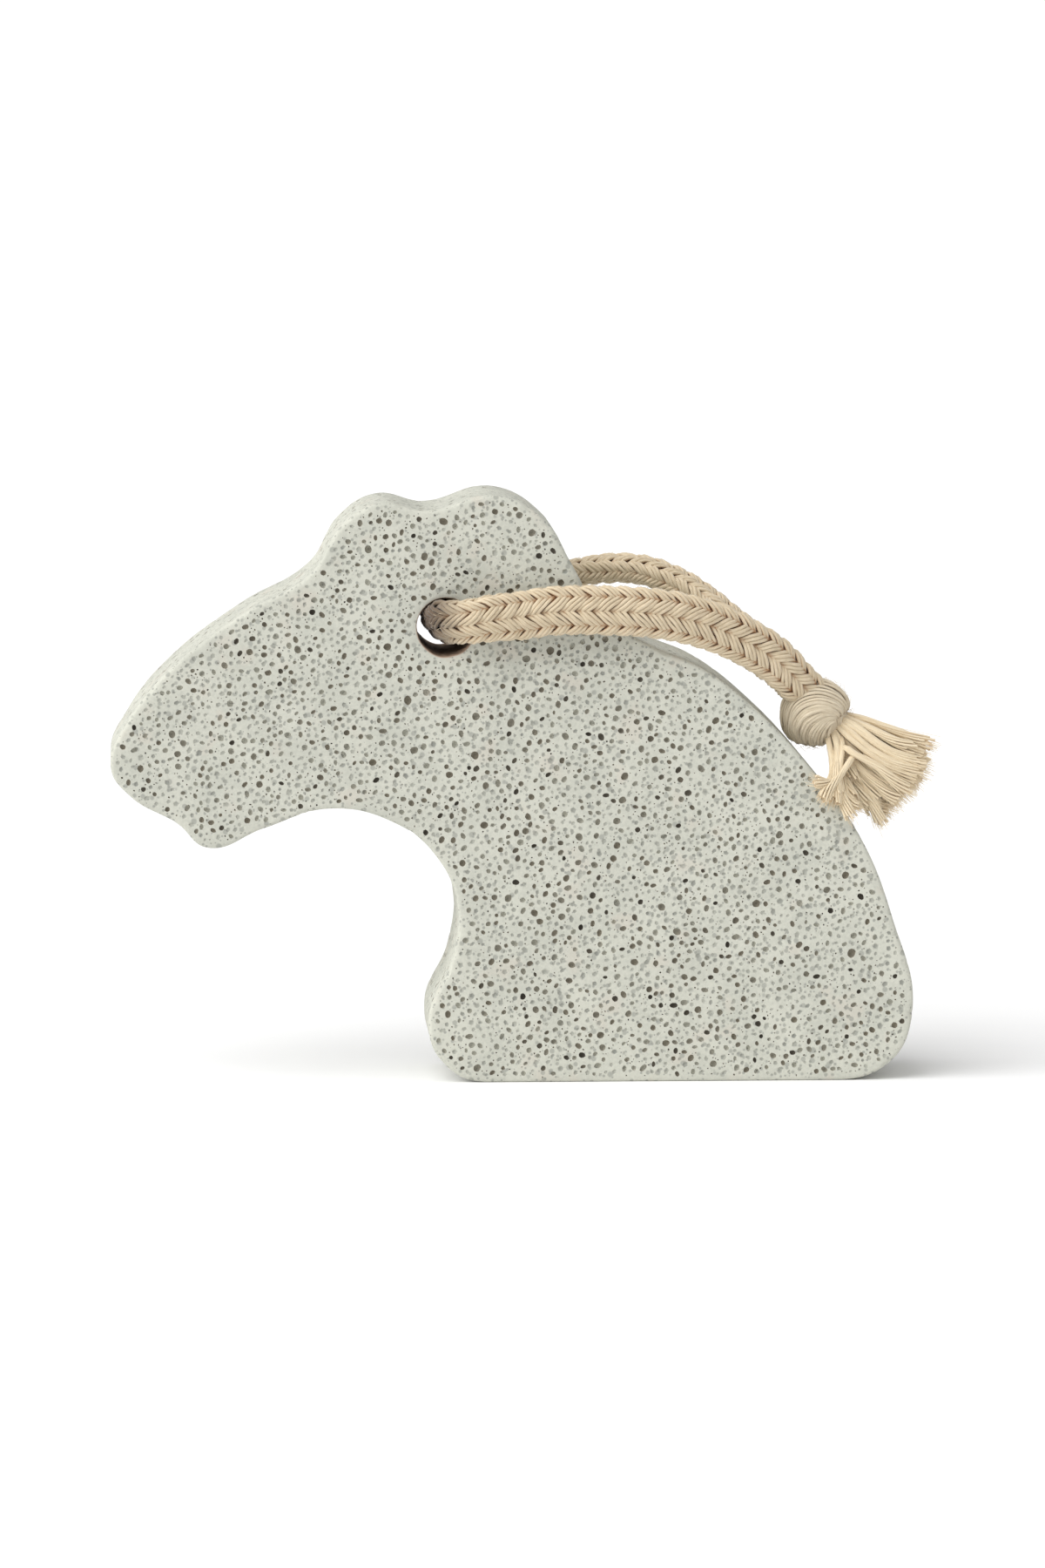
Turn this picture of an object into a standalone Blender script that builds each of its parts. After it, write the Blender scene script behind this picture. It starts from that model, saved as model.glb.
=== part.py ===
"""Pumice foot stone in the outline of an animal's head, with a braided cotton hanging cord.

Metres, +Z up. The stone stands on the flat cut of its neck, with its front face toward -Y and its nose
toward -X. The origin is on the ground under the middle of the stone.
"""

import math
import random

import bmesh
import bpy
from mathutils import Vector
from mathutils.geometry import interpolate_bezier

MM = 0.001
WELD = 0.001 * MM
FLAT_ANGLE = math.radians(0.1)

# Stone
THICKNESS = 22.0 * MM
EDGE_ROUNDING = 0.5 * MM
EDGE_ANGLE = math.radians(50)
OUTLINE_STEPS = 4

# Front outline as (x, z) in millimetres, anticlockwise from the left end of the flat base
BASE_LEFT = (-3.2, 0.0)
BASE_RIGHT = (47.8, 0.0)
BASE_HANDLE = 4.0
OUTLINE = (
    BASE_LEFT,
    BASE_RIGHT,
    # back of the neck
    (57.8, 2.5),
    (61.5, 10.0),
    (58.3, 25.5),
    (53.2, 38.0),
    (46.1, 47.8),
    (37.2, 57.4),
    (28.9, 63.8),
    (20.8, 67.4),
    (13.6, 72.4),
    (8.9, 80.0),
    # ears
    (5.2, 86.2),
    (-2.4, 90.3),
    (-13.1, 88.0),
    (-20.4, 89.2),
    (-26.1, 85.8),
    # forehead and nose
    (-30.6, 78.7),
    (-41.1, 72.4),
    (-52.0, 64.2),
    (-58.7, 56.1),
    (-61.5, 48.9),
    (-58.6, 44.5),
    (-51.2, 40.1),
    # chin, throat and chest
    (-46.9, 36.5),
    (-38.2, 39.4),
    (-28.0, 42.4),
    (-18.2, 40.2),
    (-11.9, 35.2),
    (-8.5, 27.5),
    (-9.3, 19.0),
    (-12.9, 9.8),
    (-10.9, 3.3),
)

# Drilled hole for the cord
HOLE_DIAMETER = 9.0 * MM
HOLE_X = -10.2 * MM
HOLE_Z = 70.2 * MM
HOLE_SIDES = 28

# Largest pits, open at the surface and narrower at the floor
PIT_SEED = 11
FACE_PITS = 106
SIDE_PITS = 40
PIT_RADIUS = (0.55 * MM, 0.95 * MM)
PIT_USUAL_RADIUS = 0.68 * MM
PIT_DEPTH_TO_RADIUS = 1.5
PIT_FLOOR_TO_RADIUS = 0.55
PIT_PROUD = 0.3 * MM
PIT_SPACING = 0.5 * MM
PIT_EDGE_MARGIN = 0.9 * MM
PIT_SIDES = (5, 6)
SIDE_PIT_REACH = 8.4 * MM
BASE_PIT_HEIGHT = 4.0 * MM

# Cord: centre line in millimetres, from the knot along the front face, through the hole and back
CORD_DIAMETER = 5.2 * MM
CORD_POINTS = 66
CORD_BEVEL_RESOLUTION = 3
CORD_ROUTE = (
    (43.6, -6.1, 61.4),
    (39.6, -7.9, 65.2),
    (32.6, -10.4, 69.3),
    (24.8, -12.7, 71.9),
    (16.6, -13.9, 72.9),
    (7.0, -14.0, 73.0),
    (1.5, -14.1, 72.3),
    (-2.6, -14.9, 71.5),
    (-6.2, -14.9, 70.9),
    (-8.6, -12.7, 70.7),
    (-9.3, -9.0, 70.7),
    (-9.4, -3.0, 70.7),
    (-9.4, 3.0, 70.7),
    (-9.3, 9.0, 70.7),
    (-8.6, 12.7, 70.9),
    (-6.2, 14.9, 71.3),
    (-2.4, 15.0, 72.4),
    (4.5, 14.4, 74.6),
    (11.5, 14.2, 76.5),
    (16.6, 13.7, 77.2),
    (21.4, 12.6, 76.9),
    (25.7, 11.1, 75.5),
    (29.6, 9.3, 73.3),
    (34.0, 6.7, 69.9),
    (38.2, 4.1, 66.6),
    (43.8, 0.1, 61.4),
)

# Knot
KNOT_CENTRE = (47.1 * MM, -3.0 * MM, 56.0 * MM)
KNOT_HALF_SIZE = (5.4 * MM, 6.3 * MM, 5.5 * MM)
KNOT_TILT = math.radians(37)
KNOT_SEGMENTS = 20
KNOT_RINGS = 12
KNOT_WRAPS = 3
KNOT_RIDGE = 0.07

# Tassel: strands from the far side of the knot to their tips, in millimetres
STRAND_DIAMETER = 1.8 * MM
STRAND_TIP = 1.2
STRAND_POINTS = 5
STRAND_BEVEL_RESOLUTION = 1
STRAND_BELLY = Vector((1.1, -0.8, 1.3)) * MM
TASSEL_ROOT = (52.7 * MM, -3.0 * MM, 51.8 * MM)
ROOT_HALF_SIZE = (1.2 * MM, 2.6 * MM, 2.3 * MM)
ROOT_SPREAD = 0.1
STRAND_TIPS = (
    (64.9, -3.5, 51.2),
    (64.0, 0.5, 48.6),
    (63.6, -7.0, 47.9),
    (61.6, -2.0, 44.4),
    (60.2, 3.5, 45.6),
    (60.0, -8.2, 42.6),
    (57.2, -4.5, 38.9),
    (56.6, 1.5, 40.4),
    (54.4, -10.8, 39.8),
    (51.0, -13.4, 41.4),
    (47.9, -13.4, 44.0),
)

STONE_COLOUR = (0.56, 0.55, 0.48)
CORD_COLOUR = (0.60, 0.50, 0.35)
ROUGH = 0.95


def clear_scene():
    for old in list(bpy.data.objects):
        bpy.data.objects.remove(old, do_unlink=True)


def collection(name, helper=False):
    """A collection in the scene; one of helpers is left out of renders."""
    made = bpy.data.collections.new(name)
    made.hide_render = helper
    bpy.context.scene.collection.children.link(made)
    return made


def material(name, colour):
    made = bpy.data.materials.new(name)
    made.use_nodes = True
    shader = made.node_tree.nodes["Principled BSDF"]
    shader.inputs["Base Color"].default_value = (*colour, 1.0)
    shader.inputs["Roughness"].default_value = ROUGH
    shader.inputs["Metallic"].default_value = 0.0
    return made


def add_object(name, data, where):
    made = bpy.data.objects.new(name, data)
    where.objects.link(made)
    return made


def as_mesh(curve_object, where, flatten=False):
    """The curve as a mesh object of the same name and place, with its caps welded to its sides.

    With flatten, each flat cap becomes one face.
    """
    name = curve_object.name
    graph = bpy.context.evaluated_depsgraph_get()
    mesh = bpy.data.meshes.new_from_object(curve_object.evaluated_get(graph))
    matrix = curve_object.matrix_world.copy()
    bpy.data.objects.remove(curve_object)
    shape = bmesh.new()
    shape.from_mesh(mesh)
    bmesh.ops.remove_doubles(shape, verts=shape.verts, dist=WELD)
    if flatten:
        bmesh.ops.dissolve_limit(shape, angle_limit=FLAT_ANGLE, verts=shape.verts, edges=shape.edges)
    shape.to_mesh(mesh)
    shape.free()
    made = add_object(name, mesh, where)
    made.matrix_world = matrix
    return made


def boolean(target, cutter, operation):
    cut = target.modifiers.new(cutter.name, "BOOLEAN")
    cut.operation = operation
    cut.object = cutter
    return cut


def hide_cutter(cutter):
    cutter.hide_render = True
    cutter.display_type = "WIRE"


def outline_spline(curve):
    """The closed outline, with level handles at both ends of the flat base."""
    spline = curve.splines.new("BEZIER")
    spline.bezier_points.add(len(OUTLINE) - 1)
    spline.use_cyclic_u = True
    for point, (x, z) in zip(spline.bezier_points, OUTLINE):
        point.co = (x * MM, z * MM, 0.0)
        point.handle_left_type = "AUTO"
        point.handle_right_type = "AUTO"
    reach = Vector((BASE_HANDLE * MM, 0.0, 0.0))
    for point in spline.bezier_points[:2]:
        point.handle_left_type = "FREE"
        point.handle_right_type = "FREE"
        point.handle_left = point.co - reach
        point.handle_right = point.co + reach
    return spline


def polygon_of(spline):
    """The outline's points as the curve draws them."""
    points = list(spline.bezier_points)
    polygon = []
    for start, end in zip(points, points[1:] + points[:1]):
        stretch = interpolate_bezier(start.co, start.handle_right, end.handle_left, end.co, OUTLINE_STEPS + 1)
        polygon += [Vector((p.x, p.y)) for p in stretch[:-1]]
    return polygon


def edge_distance(point, polygon):
    """How far the point is inside the outline, negative outside it."""
    nearest = math.inf
    inside = False
    for a, b in zip(polygon, polygon[1:] + polygon[:1]):
        along = b - a
        share = max(0.0, min(1.0, (point - a).dot(along) / along.length_squared))
        nearest = min(nearest, (a + along * share - point).length)
        if (a.y > point.y) != (b.y > point.y) and point.x < a.x + along.x * (point.y - a.y) / along.y:
            inside = not inside
    return nearest if inside else -nearest


def face_pits(polygon, seed):
    """Centres and radii of one face's pits, clear of the edge, of the hole and of each other."""
    draw = random.Random(seed)
    low_x, high_x = (pick(p.x for p in polygon) for pick in (min, max))
    high_z = max(p.y for p in polygon)
    hole = Vector((HOLE_X, HOLE_Z))
    pits = []
    while len(pits) < FACE_PITS:
        centre = Vector((draw.uniform(low_x, high_x), draw.uniform(0.0, high_z)))
        radius = draw.triangular(*PIT_RADIUS, PIT_USUAL_RADIUS)
        if edge_distance(centre, polygon) < radius + PIT_EDGE_MARGIN:
            continue
        if (centre - hole).length < HOLE_DIAMETER / 2 + radius + PIT_EDGE_MARGIN:
            continue
        if all((centre - other).length > radius + size + PIT_SPACING for other, size in pits):
            pits.append((centre, radius))
    return pits


def side_pits(polygon, seed):
    """Places, outward directions and radii of the pits around the sawn sides, clear of the base."""
    draw = random.Random(seed)
    pits = []
    while len(pits) < SIDE_PITS:
        index = draw.randrange(len(polygon))
        a, b = polygon[index - 1], polygon[index]
        middle = a.lerp(b, draw.random())
        along = (b - a).normalized()
        place = Vector((middle.x, draw.uniform(-SIDE_PIT_REACH, SIDE_PIT_REACH), middle.y))
        radius = draw.triangular(*PIT_RADIUS, PIT_USUAL_RADIUS)
        if place.z < BASE_PIT_HEIGHT:
            continue
        if all((place - other).length > radius + size + PIT_SPACING for other, _, size in pits):
            pits.append((place, Vector((along.y, 0.0, -along.x)), radius))
    return pits


def add_pit(shape, place, outward, radius, sides):
    """A cutter for one pit: wider outside the stone, narrower at the floor."""
    depth = radius * PIT_DEPTH_TO_RADIUS
    floor = radius * PIT_FLOOR_TO_RADIUS
    mouth = radius + (radius - floor) * PIT_PROUD / depth
    middle = place + outward * (PIT_PROUD - depth) / 2
    turn = outward.to_track_quat("Z", "Y").to_matrix().to_4x4()
    turn.translation = middle
    bmesh.ops.create_cone(
        shape,
        cap_ends=True,
        segments=sides,
        radius1=floor,
        radius2=mouth,
        depth=depth + PIT_PROUD,
        matrix=turn,
    )


def pit_cutter(polygon, where):
    """All pits of the front, the back and the sides as one cutter."""
    draw = random.Random(PIT_SEED)
    shape = bmesh.new()
    for offset, facing in enumerate((-1.0, 1.0)):
        for centre, radius in face_pits(polygon, PIT_SEED + offset):
            place = Vector((centre.x, facing * THICKNESS / 2, centre.y))
            add_pit(shape, place, Vector((0.0, facing, 0.0)), radius, draw.choice(PIT_SIDES))
    for place, outward, radius in side_pits(polygon, PIT_SEED):
        add_pit(shape, place, outward, radius, draw.choice(PIT_SIDES))
    mesh = bpy.data.meshes.new("pits")
    shape.to_mesh(mesh)
    shape.free()
    return add_object("pits", mesh, where)


def hole_cutter(where):
    shape = bmesh.new()
    bmesh.ops.create_cone(
        shape,
        cap_ends=True,
        segments=HOLE_SIDES,
        radius1=HOLE_DIAMETER / 2,
        radius2=HOLE_DIAMETER / 2,
        depth=THICKNESS * 2,
    )
    mesh = bpy.data.meshes.new("drill")
    shape.to_mesh(mesh)
    shape.free()
    cutter = add_object("drill", mesh, where)
    cutter.location = (HOLE_X, 0.0, HOLE_Z)
    cutter.rotation_euler = (math.pi / 2, 0.0, 0.0)
    return cutter


def build_stone(parts, cutters):
    """The slab, drilled, with softened edges and its largest pits."""
    curve = bpy.data.curves.new("pumice_stone", "CURVE")
    curve.dimensions = "2D"
    curve.fill_mode = "BOTH"
    curve.extrude = THICKNESS / 2
    curve.resolution_u = OUTLINE_STEPS
    polygon = polygon_of(outline_spline(curve))
    slab = add_object("pumice_stone", curve, parts)
    slab.rotation_euler = (math.pi / 2, 0.0, 0.0)
    bpy.context.view_layer.update()
    stone = as_mesh(slab, parts, flatten=True)
    stone.data.materials.append(material("pumice", STONE_COLOUR))
    drill = hole_cutter(cutters)
    boolean(stone, drill, "DIFFERENCE")
    soften = stone.modifiers.new("edge_rounding", "BEVEL")
    soften.width = EDGE_ROUNDING
    soften.segments = 1
    soften.limit_method = "ANGLE"
    soften.angle_limit = EDGE_ANGLE
    pits = pit_cutter(polygon, cutters)
    boolean(stone, pits, "DIFFERENCE")
    for cutter in (drill, pits):
        hide_cutter(cutter)


def smooth_points(route, count):
    """Evenly spaced points on a smooth curve through the route's own points."""
    knots = [Vector(point) * MM for point in route]
    knots = [knots[0] * 2 - knots[1], *knots, knots[-1] * 2 - knots[-2]]
    fine = []
    for a, b, c, d in zip(knots, knots[1:], knots[2:], knots[3:]):
        fine += interpolate_bezier(b, b + (c - a) / 6, c - (d - b) / 6, c, 12)[:-1]
    fine.append(knots[-2])
    lengths = [0.0]
    for a, b in zip(fine, fine[1:]):
        lengths.append(lengths[-1] + (b - a).length)
    points = []
    index = 0
    for step in range(count):
        wanted = lengths[-1] * step / (count - 1)
        while index < len(fine) - 2 and lengths[index + 1] < wanted:
            index += 1
        share = (wanted - lengths[index]) / (lengths[index + 1] - lengths[index])
        points.append(fine[index].lerp(fine[index + 1], share))
    return points


def tube(name, points, radii, diameter, resolution, where):
    """A round tube along the points, with a share of its radius at each and filled caps."""
    curve = bpy.data.curves.new(name, "CURVE")
    curve.dimensions = "3D"
    curve.bevel_depth = diameter / 2
    curve.bevel_resolution = resolution
    curve.use_fill_caps = True
    spline = curve.splines.new("POLY")
    spline.points.add(len(points) - 1)
    for point, place, radius in zip(spline.points, points, radii):
        point.co = (*place, 1.0)
        point.radius = radius
    return add_object(name, curve, where)


def build_cord(parts, cotton):
    """The braid as one tube, from the knot through the stone and back."""
    points = smooth_points(CORD_ROUTE, CORD_POINTS)
    cord = tube("cord", points, [1.0] * len(points), CORD_DIAMETER, CORD_BEVEL_RESOLUTION, parts)
    cord.data.materials.append(cotton)


def build_knot(parts, cotton):
    """A rounded knot with the ridges of its wraps."""
    shape = bmesh.new()
    bmesh.ops.create_uvsphere(shape, u_segments=KNOT_SEGMENTS, v_segments=KNOT_RINGS, radius=1.0)
    half = Vector(KNOT_HALF_SIZE)
    for vert in shape.verts:
        around = math.atan2(vert.co.z, vert.co.x)
        ridge = math.cos(KNOT_WRAPS * (around + vert.co.y))
        vert.co = vert.co * half * (1.0 - KNOT_RIDGE * (1.0 - ridge) / 2)
    mesh = bpy.data.meshes.new("knot")
    shape.to_mesh(mesh)
    shape.free()
    mesh.shade_smooth()
    mesh.materials.append(cotton)
    knot = add_object("knot", mesh, parts)
    knot.location = KNOT_CENTRE
    knot.rotation_euler = (0.0, KNOT_TILT, 0.0)


def strand_points(root, tip):
    """A strand's course, bowed outwards between the knot and its tip."""
    points = []
    for step in range(STRAND_POINTS):
        share = step / (STRAND_POINTS - 1)
        points.append(root.lerp(tip, share) + STRAND_BELLY * math.sin(math.pi * share))
    return points


def build_tassel(parts, cutters, cotton):
    """The frayed ends, every strand fused to the lump where they leave the knot."""
    root = Vector(TASSEL_ROOT)
    shape = bmesh.new()
    bmesh.ops.create_icosphere(shape, subdivisions=2, radius=1.0)
    bmesh.ops.scale(shape, vec=ROOT_HALF_SIZE, verts=shape.verts)
    mesh = bpy.data.meshes.new("tassel")
    shape.to_mesh(mesh)
    shape.free()
    mesh.materials.append(cotton)
    tassel = add_object("tassel", mesh, parts)
    tassel.location = root
    tassel.rotation_euler = (0.0, KNOT_TILT, 0.0)
    radii = [1.0 - (1.0 - STRAND_TIP) * step / (STRAND_POINTS - 1) for step in range(STRAND_POINTS)]
    for number, tip_mm in enumerate(STRAND_TIPS, 1):
        tip = Vector(tip_mm) * MM
        start = root.lerp(tip, ROOT_SPREAD)
        name = f"strand_{number:02d}"
        curve = tube(name, strand_points(start, tip), radii, STRAND_DIAMETER, STRAND_BEVEL_RESOLUTION, cutters)
        bpy.context.view_layer.update()
        strand = as_mesh(curve, cutters)
        boolean(tassel, strand, "UNION")
        hide_cutter(strand)


def main():
    clear_scene()
    parts = collection("pumice_stone_on_cord")
    cutters = collection("cutters", helper=True)
    cotton = material("cotton", CORD_COLOUR)
    build_stone(parts, cutters)
    build_cord(parts, cotton)
    build_knot(parts, cotton)
    build_tassel(parts, cutters, cotton)


main()
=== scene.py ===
"""Looks of a pumice foot stone in the outline of an animal's head, on a braided cotton hanging cord.

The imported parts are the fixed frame: the stone stands on the flat cut of its neck, its front face looks
toward -Y and its nose points toward -X. Sizes in this file are millimetres unless a name says otherwise,
and become metres where a mesh is made.
"""

import logging
import math
import random
from collections.abc import Callable, Iterable, Sequence
from dataclasses import dataclass, field
from enum import Enum

import bmesh
import bpy
import numpy as np
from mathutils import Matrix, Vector, noise
from mathutils.geometry import delaunay_2d_cdt, interpolate_bezier


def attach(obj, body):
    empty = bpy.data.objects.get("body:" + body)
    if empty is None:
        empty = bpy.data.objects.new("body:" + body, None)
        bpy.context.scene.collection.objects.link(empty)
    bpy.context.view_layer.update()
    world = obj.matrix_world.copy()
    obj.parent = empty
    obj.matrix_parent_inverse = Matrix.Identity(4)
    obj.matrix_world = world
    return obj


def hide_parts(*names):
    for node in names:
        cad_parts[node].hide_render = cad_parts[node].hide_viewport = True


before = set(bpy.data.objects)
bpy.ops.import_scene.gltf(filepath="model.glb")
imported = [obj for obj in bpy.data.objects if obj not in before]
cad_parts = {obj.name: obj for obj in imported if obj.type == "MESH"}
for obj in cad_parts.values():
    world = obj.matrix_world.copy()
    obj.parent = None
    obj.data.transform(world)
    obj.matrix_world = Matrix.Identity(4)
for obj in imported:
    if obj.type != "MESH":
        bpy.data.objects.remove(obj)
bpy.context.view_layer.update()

MM = 0.001
BODY = "root"
SHORTEST = 1e-12
Colour = tuple[float, float, float]
Point2 = tuple[float, float]
Point3 = tuple[float, float, float]
Array = np.ndarray
Measure = Callable[[Array], Array]
Draw = np.random.Generator
Piece = bpy.types.Object
Material = bpy.types.Material
Tree = bpy.types.NodeTree
Node = bpy.types.Node
Socket = bpy.types.NodeSocket
VALUE_SOCKET = "NodeSocketFloat"

log = logging.getLogger("pumice_stone")


class Facing(Enum):
    """Which broad face of the slab a patch lies on, by the sign of its Y."""

    FRONT = -1.0
    BACK = 1.0


class PitKind(Enum):
    """How a gas bubble was cut by the saw."""

    OPEN = "open"
    DISH = "dish"
    PINHOLE = "pinhole"


class Lay(Enum):
    """Which way round the braid a strand runs."""

    CLOCKWISE = -1.0
    ANTICLOCKWISE = 1.0


@dataclass
class Patch:
    """A piece of surface, in millimetres, with the values painted on it.

    Args:
        points: one row of x, y, z for each point.
        faces: arrays of point numbers, one array for each number of corners.
        on_points: values by attribute name, one for each point, or three for a direction.
        on_faces: values by attribute name, one for each face, in the order of faces.
    """

    points: Array
    faces: list[Array]
    on_points: dict[str, Array] = field(default_factory=dict)
    on_faces: dict[str, Array] = field(default_factory=dict)

    def face_count(self) -> int:
        """The number of faces of every width together."""
        return sum(len(group) for group in self.faces)


def joined(patches: Sequence[Patch]) -> Patch:
    """One patch of several, with zeros where one of them lacks a value.

    Args:
        patches: the pieces, in the order in which their points follow each other.

    Returns:
        The patch that holds them all.
    """
    starts = np.cumsum([0] + [len(patch.points) for patch in patches])
    faces = [group + start for patch, start in zip(patches, starts) for group in patch.faces]
    merged: list[dict[str, Array]] = []
    for kind, counts in (
        ("on_points", [len(patch.points) for patch in patches]),
        ("on_faces", [patch.face_count() for patch in patches]),
    ):
        given = [getattr(patch, kind) for patch in patches]
        values = {}
        for name in {name for one in given for name in one}:
            width = next(one[name].shape[1:] for one in given if name in one)
            blanks = [np.zeros((count, *width)) for count in counts]
            values[name] = np.concatenate([one.get(name, blank) for one, blank in zip(given, blanks)])
        merged.append(values)
    return Patch(np.concatenate([patch.points for patch in patches]), faces, *merged)


def mesh_object(name: str, patch: Patch) -> Piece:
    """A mesh object at the origin, with the patch's values as attributes.

    Args:
        name: the piece's name.
        patch: its surface in millimetres.

    Returns:
        The new object, linked to the scene.
    """
    mesh = bpy.data.meshes.new(name)
    faces = [corners for group in patch.faces for corners in group.tolist()]
    mesh.from_pydata((patch.points * MM).tolist(), [], faces)
    for domain, values in (("POINT", patch.on_points), ("FACE", patch.on_faces)):
        for label in sorted(values):
            given = values[label].astype(np.float32)
            kind = "FLOAT_VECTOR" if given.ndim == 2 else "FLOAT"
            attribute = mesh.attributes.new(label, kind, domain)
            attribute.data.foreach_set("vector" if given.ndim == 2 else "value", given.ravel())
    made = bpy.data.objects.new(name, mesh)
    bpy.context.scene.collection.objects.link(made)
    return made


def pick_only(piece: Piece) -> None:
    """Makes the piece the one selected, active object.

    Args:
        piece: the piece.
    """
    bpy.ops.object.select_all(action="DESELECT")
    piece.select_set(True)
    bpy.context.view_layer.objects.active = piece


def shade(piece: Piece, sharp_above_deg: float) -> None:
    """Shades the piece smooth, with sharp edges where its faces turn by more than the angle."""
    pick_only(piece)
    bpy.ops.object.shade_smooth_by_angle(angle=math.radians(sharp_above_deg))


def weld(piece: Piece, distance: float) -> None:
    """Joins points of the piece that are close together.

    Args:
        piece: the piece.
        distance: how close they have to be, in millimetres.
    """
    shape = bmesh.new()
    shape.from_mesh(piece.data)
    bmesh.ops.remove_doubles(shape, verts=shape.verts, dist=distance * MM)
    shape.to_mesh(piece.data)
    shape.free()


def dress(piece: Piece, material: Material, slot: str, *nodes: str) -> None:
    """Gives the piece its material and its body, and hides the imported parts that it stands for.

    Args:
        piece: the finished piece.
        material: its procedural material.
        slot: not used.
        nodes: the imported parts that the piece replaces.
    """
    piece.data.materials.clear()
    piece.data.materials.append(material)
    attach(piece, BODY)
    if nodes:
        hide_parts(*nodes)
    faces = sum(len(polygon.vertices) - 2 for polygon in piece.data.polygons)
    log.info("%s: %d triangles", piece.name, faces)


def inside(loop: Array, places: Array) -> Array:
    """Which places lie inside a closed flat line.

    Args:
        loop: the line's corners.
        places: the places.

    Returns:
        True for each place inside.
    """
    along = np.roll(loop, -1, axis=0) - loop
    above = loop[:, 1] > places[:, 1:]
    crosses = above != (np.roll(loop[:, 1], -1) > places[:, 1:])
    rise = np.where(along[:, 1] == 0.0, 1.0, along[:, 1])
    meets = loop[:, 0] + along[:, 0] * (places[:, 1:] - loop[:, 1]) / rise
    return (crosses & (places[:, :1] < meets)).sum(1) % 2 == 1


def unit(vectors: Array) -> Array:
    """The vectors in the last axis, each of length one."""
    return vectors / np.maximum(np.linalg.norm(vectors, axis=-1, keepdims=True), SHORTEST)


class Wiring:
    """A node tree being wired: each method adds one node and returns its output."""

    MIX_FIRST = 6
    MIX_SECOND = 7
    MIX_RESULT = 2

    def __init__(self, tree: Tree) -> None:
        """Starts on a tree, which keeps the nodes that it has."""
        self.tree = tree

    def node(self, kind: str, sources: dict[object, object] | None = None, **settings: object) -> Node:
        """Adds a node.

        Args:
            kind: the node's Blender type.
            sources: outputs or constants for its inputs, by their names or numbers.
            settings: properties of the node and their values.

        Returns:
            The new node.
        """
        made = self.tree.nodes.new(kind)
        for name, value in settings.items():
            setattr(made, name, value)
        for name, source in (sources or {}).items():
            self.feed(made.inputs[name], source)
        return made

    def feed(self, socket: Socket, source: object) -> None:
        """Links an input to an output, or gives it a constant.

        Args:
            socket: the input.
            source: the output or the constant.
        """
        if isinstance(source, Socket):
            self.tree.links.new(source, socket)
        else:
            socket.default_value = source

    def math(self, operation: str, first: object, second: object) -> Socket:
        """A Math node on two values."""
        return self.node("ShaderNodeMath", {0: first, 1: second}, operation=operation).outputs[0]

    def vector_math(self, operation: str, first: object, second: object) -> Socket:
        """A Vector Math node on two vectors."""
        return self.node("ShaderNodeVectorMath", {0: first, 1: second}, operation=operation).outputs[0]

    def mix(self, share: object, first: object, second: object) -> Socket:
        """A colour between two, by a share of the second.

        Args:
            share: a value or an output from 0 to 1.
            first: a colour or an output.
            second: a colour or an output.

        Returns:
            The mixed colour.
        """
        sources = {"Factor": share}
        for number, source in ((self.MIX_FIRST, first), (self.MIX_SECOND, second)):
            sources[number] = (*source, 1.0) if isinstance(source, tuple) else source
        made = self.node("ShaderNodeMix", sources, data_type="RGBA", clamp_factor=True)
        return made.outputs[self.MIX_RESULT]

    def ramp(self, value: object, low: object, high: object, start: float = 0.0, end: float = 1.0) -> Socket:
        """A value carried smoothly from the span low to high into the span start to end."""
        sources = {"Value": value, "From Min": low, "From Max": high, "To Min": start, "To Max": end}
        return self.node("ShaderNodeMapRange", sources, interpolation_type="SMOOTHSTEP").outputs["Result"]

    def noise(self, where: Socket, per_mm: object, detail: float = 2.0, roughness: float = 0.5) -> Socket:
        """A noise from 0 to 1 over a place in millimetres, with so many waves to a millimetre."""
        sources = {"Vector": where, "Scale": per_mm, "Detail": detail, "Roughness": roughness}
        return self.node("ShaderNodeTexNoise", sources, noise_dimensions="3D").outputs["Fac"]

    def cells(self, where: Socket, per_mm: float) -> Node:
        """A Voronoi node over a place in millimetres."""
        sources = {"Vector": where, "Scale": per_mm}
        return self.node("ShaderNodeTexVoronoi", sources, feature="F1", voronoi_dimensions="3D")

    def attribute(self, name: str, output: str = "Fac") -> Socket:
        """A value painted on the mesh."""
        return self.node("ShaderNodeAttribute", attribute_name=name).outputs[output]

    def place_mm(self) -> Socket:
        """The place on the piece, in millimetres."""
        where = self.node("ShaderNodeTexCoord").outputs["Object"]
        return self.node("ShaderNodeVectorMath", {0: where, "Scale": 1.0 / MM}, operation="SCALE").outputs[0]

    def bump(self, height: Socket, strength: float, depth: float) -> Socket:
        """A normal bumped by a height, to a depth in millimetres."""
        sources = {"Strength": strength, "Distance": depth * MM, "Height": height}
        return self.node("ShaderNodeBump", sources).outputs[0]

    def group(self, tree: Tree, **inputs: object) -> Node:
        """Places a shared group and feeds its inputs, named with underscores for spaces."""
        sources = {name.replace("_", " "): source for name, source in inputs.items()}
        return self.node("ShaderNodeGroup", sources, node_tree=tree)


def new_group(name: str, inputs: dict[str, str], outputs: Iterable[str]) -> tuple[Wiring, Node, Node]:
    """An empty shared group.

    Args:
        name: the group's name.
        inputs: each input's name and socket type.
        outputs: names of the outputs, all single values.

    Returns:
        The wiring, the group's input node and its output node.
    """
    tree = bpy.data.node_groups.new(name, "ShaderNodeTree")
    for label, kind in inputs.items():
        tree.interface.new_socket(label, in_out="INPUT", socket_type=kind)
    for label in outputs:
        tree.interface.new_socket(label, in_out="OUTPUT", socket_type=VALUE_SOCKET)
    wiring = Wiring(tree)
    return wiring, wiring.node("NodeGroupInput"), wiring.node("NodeGroupOutput")


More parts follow.
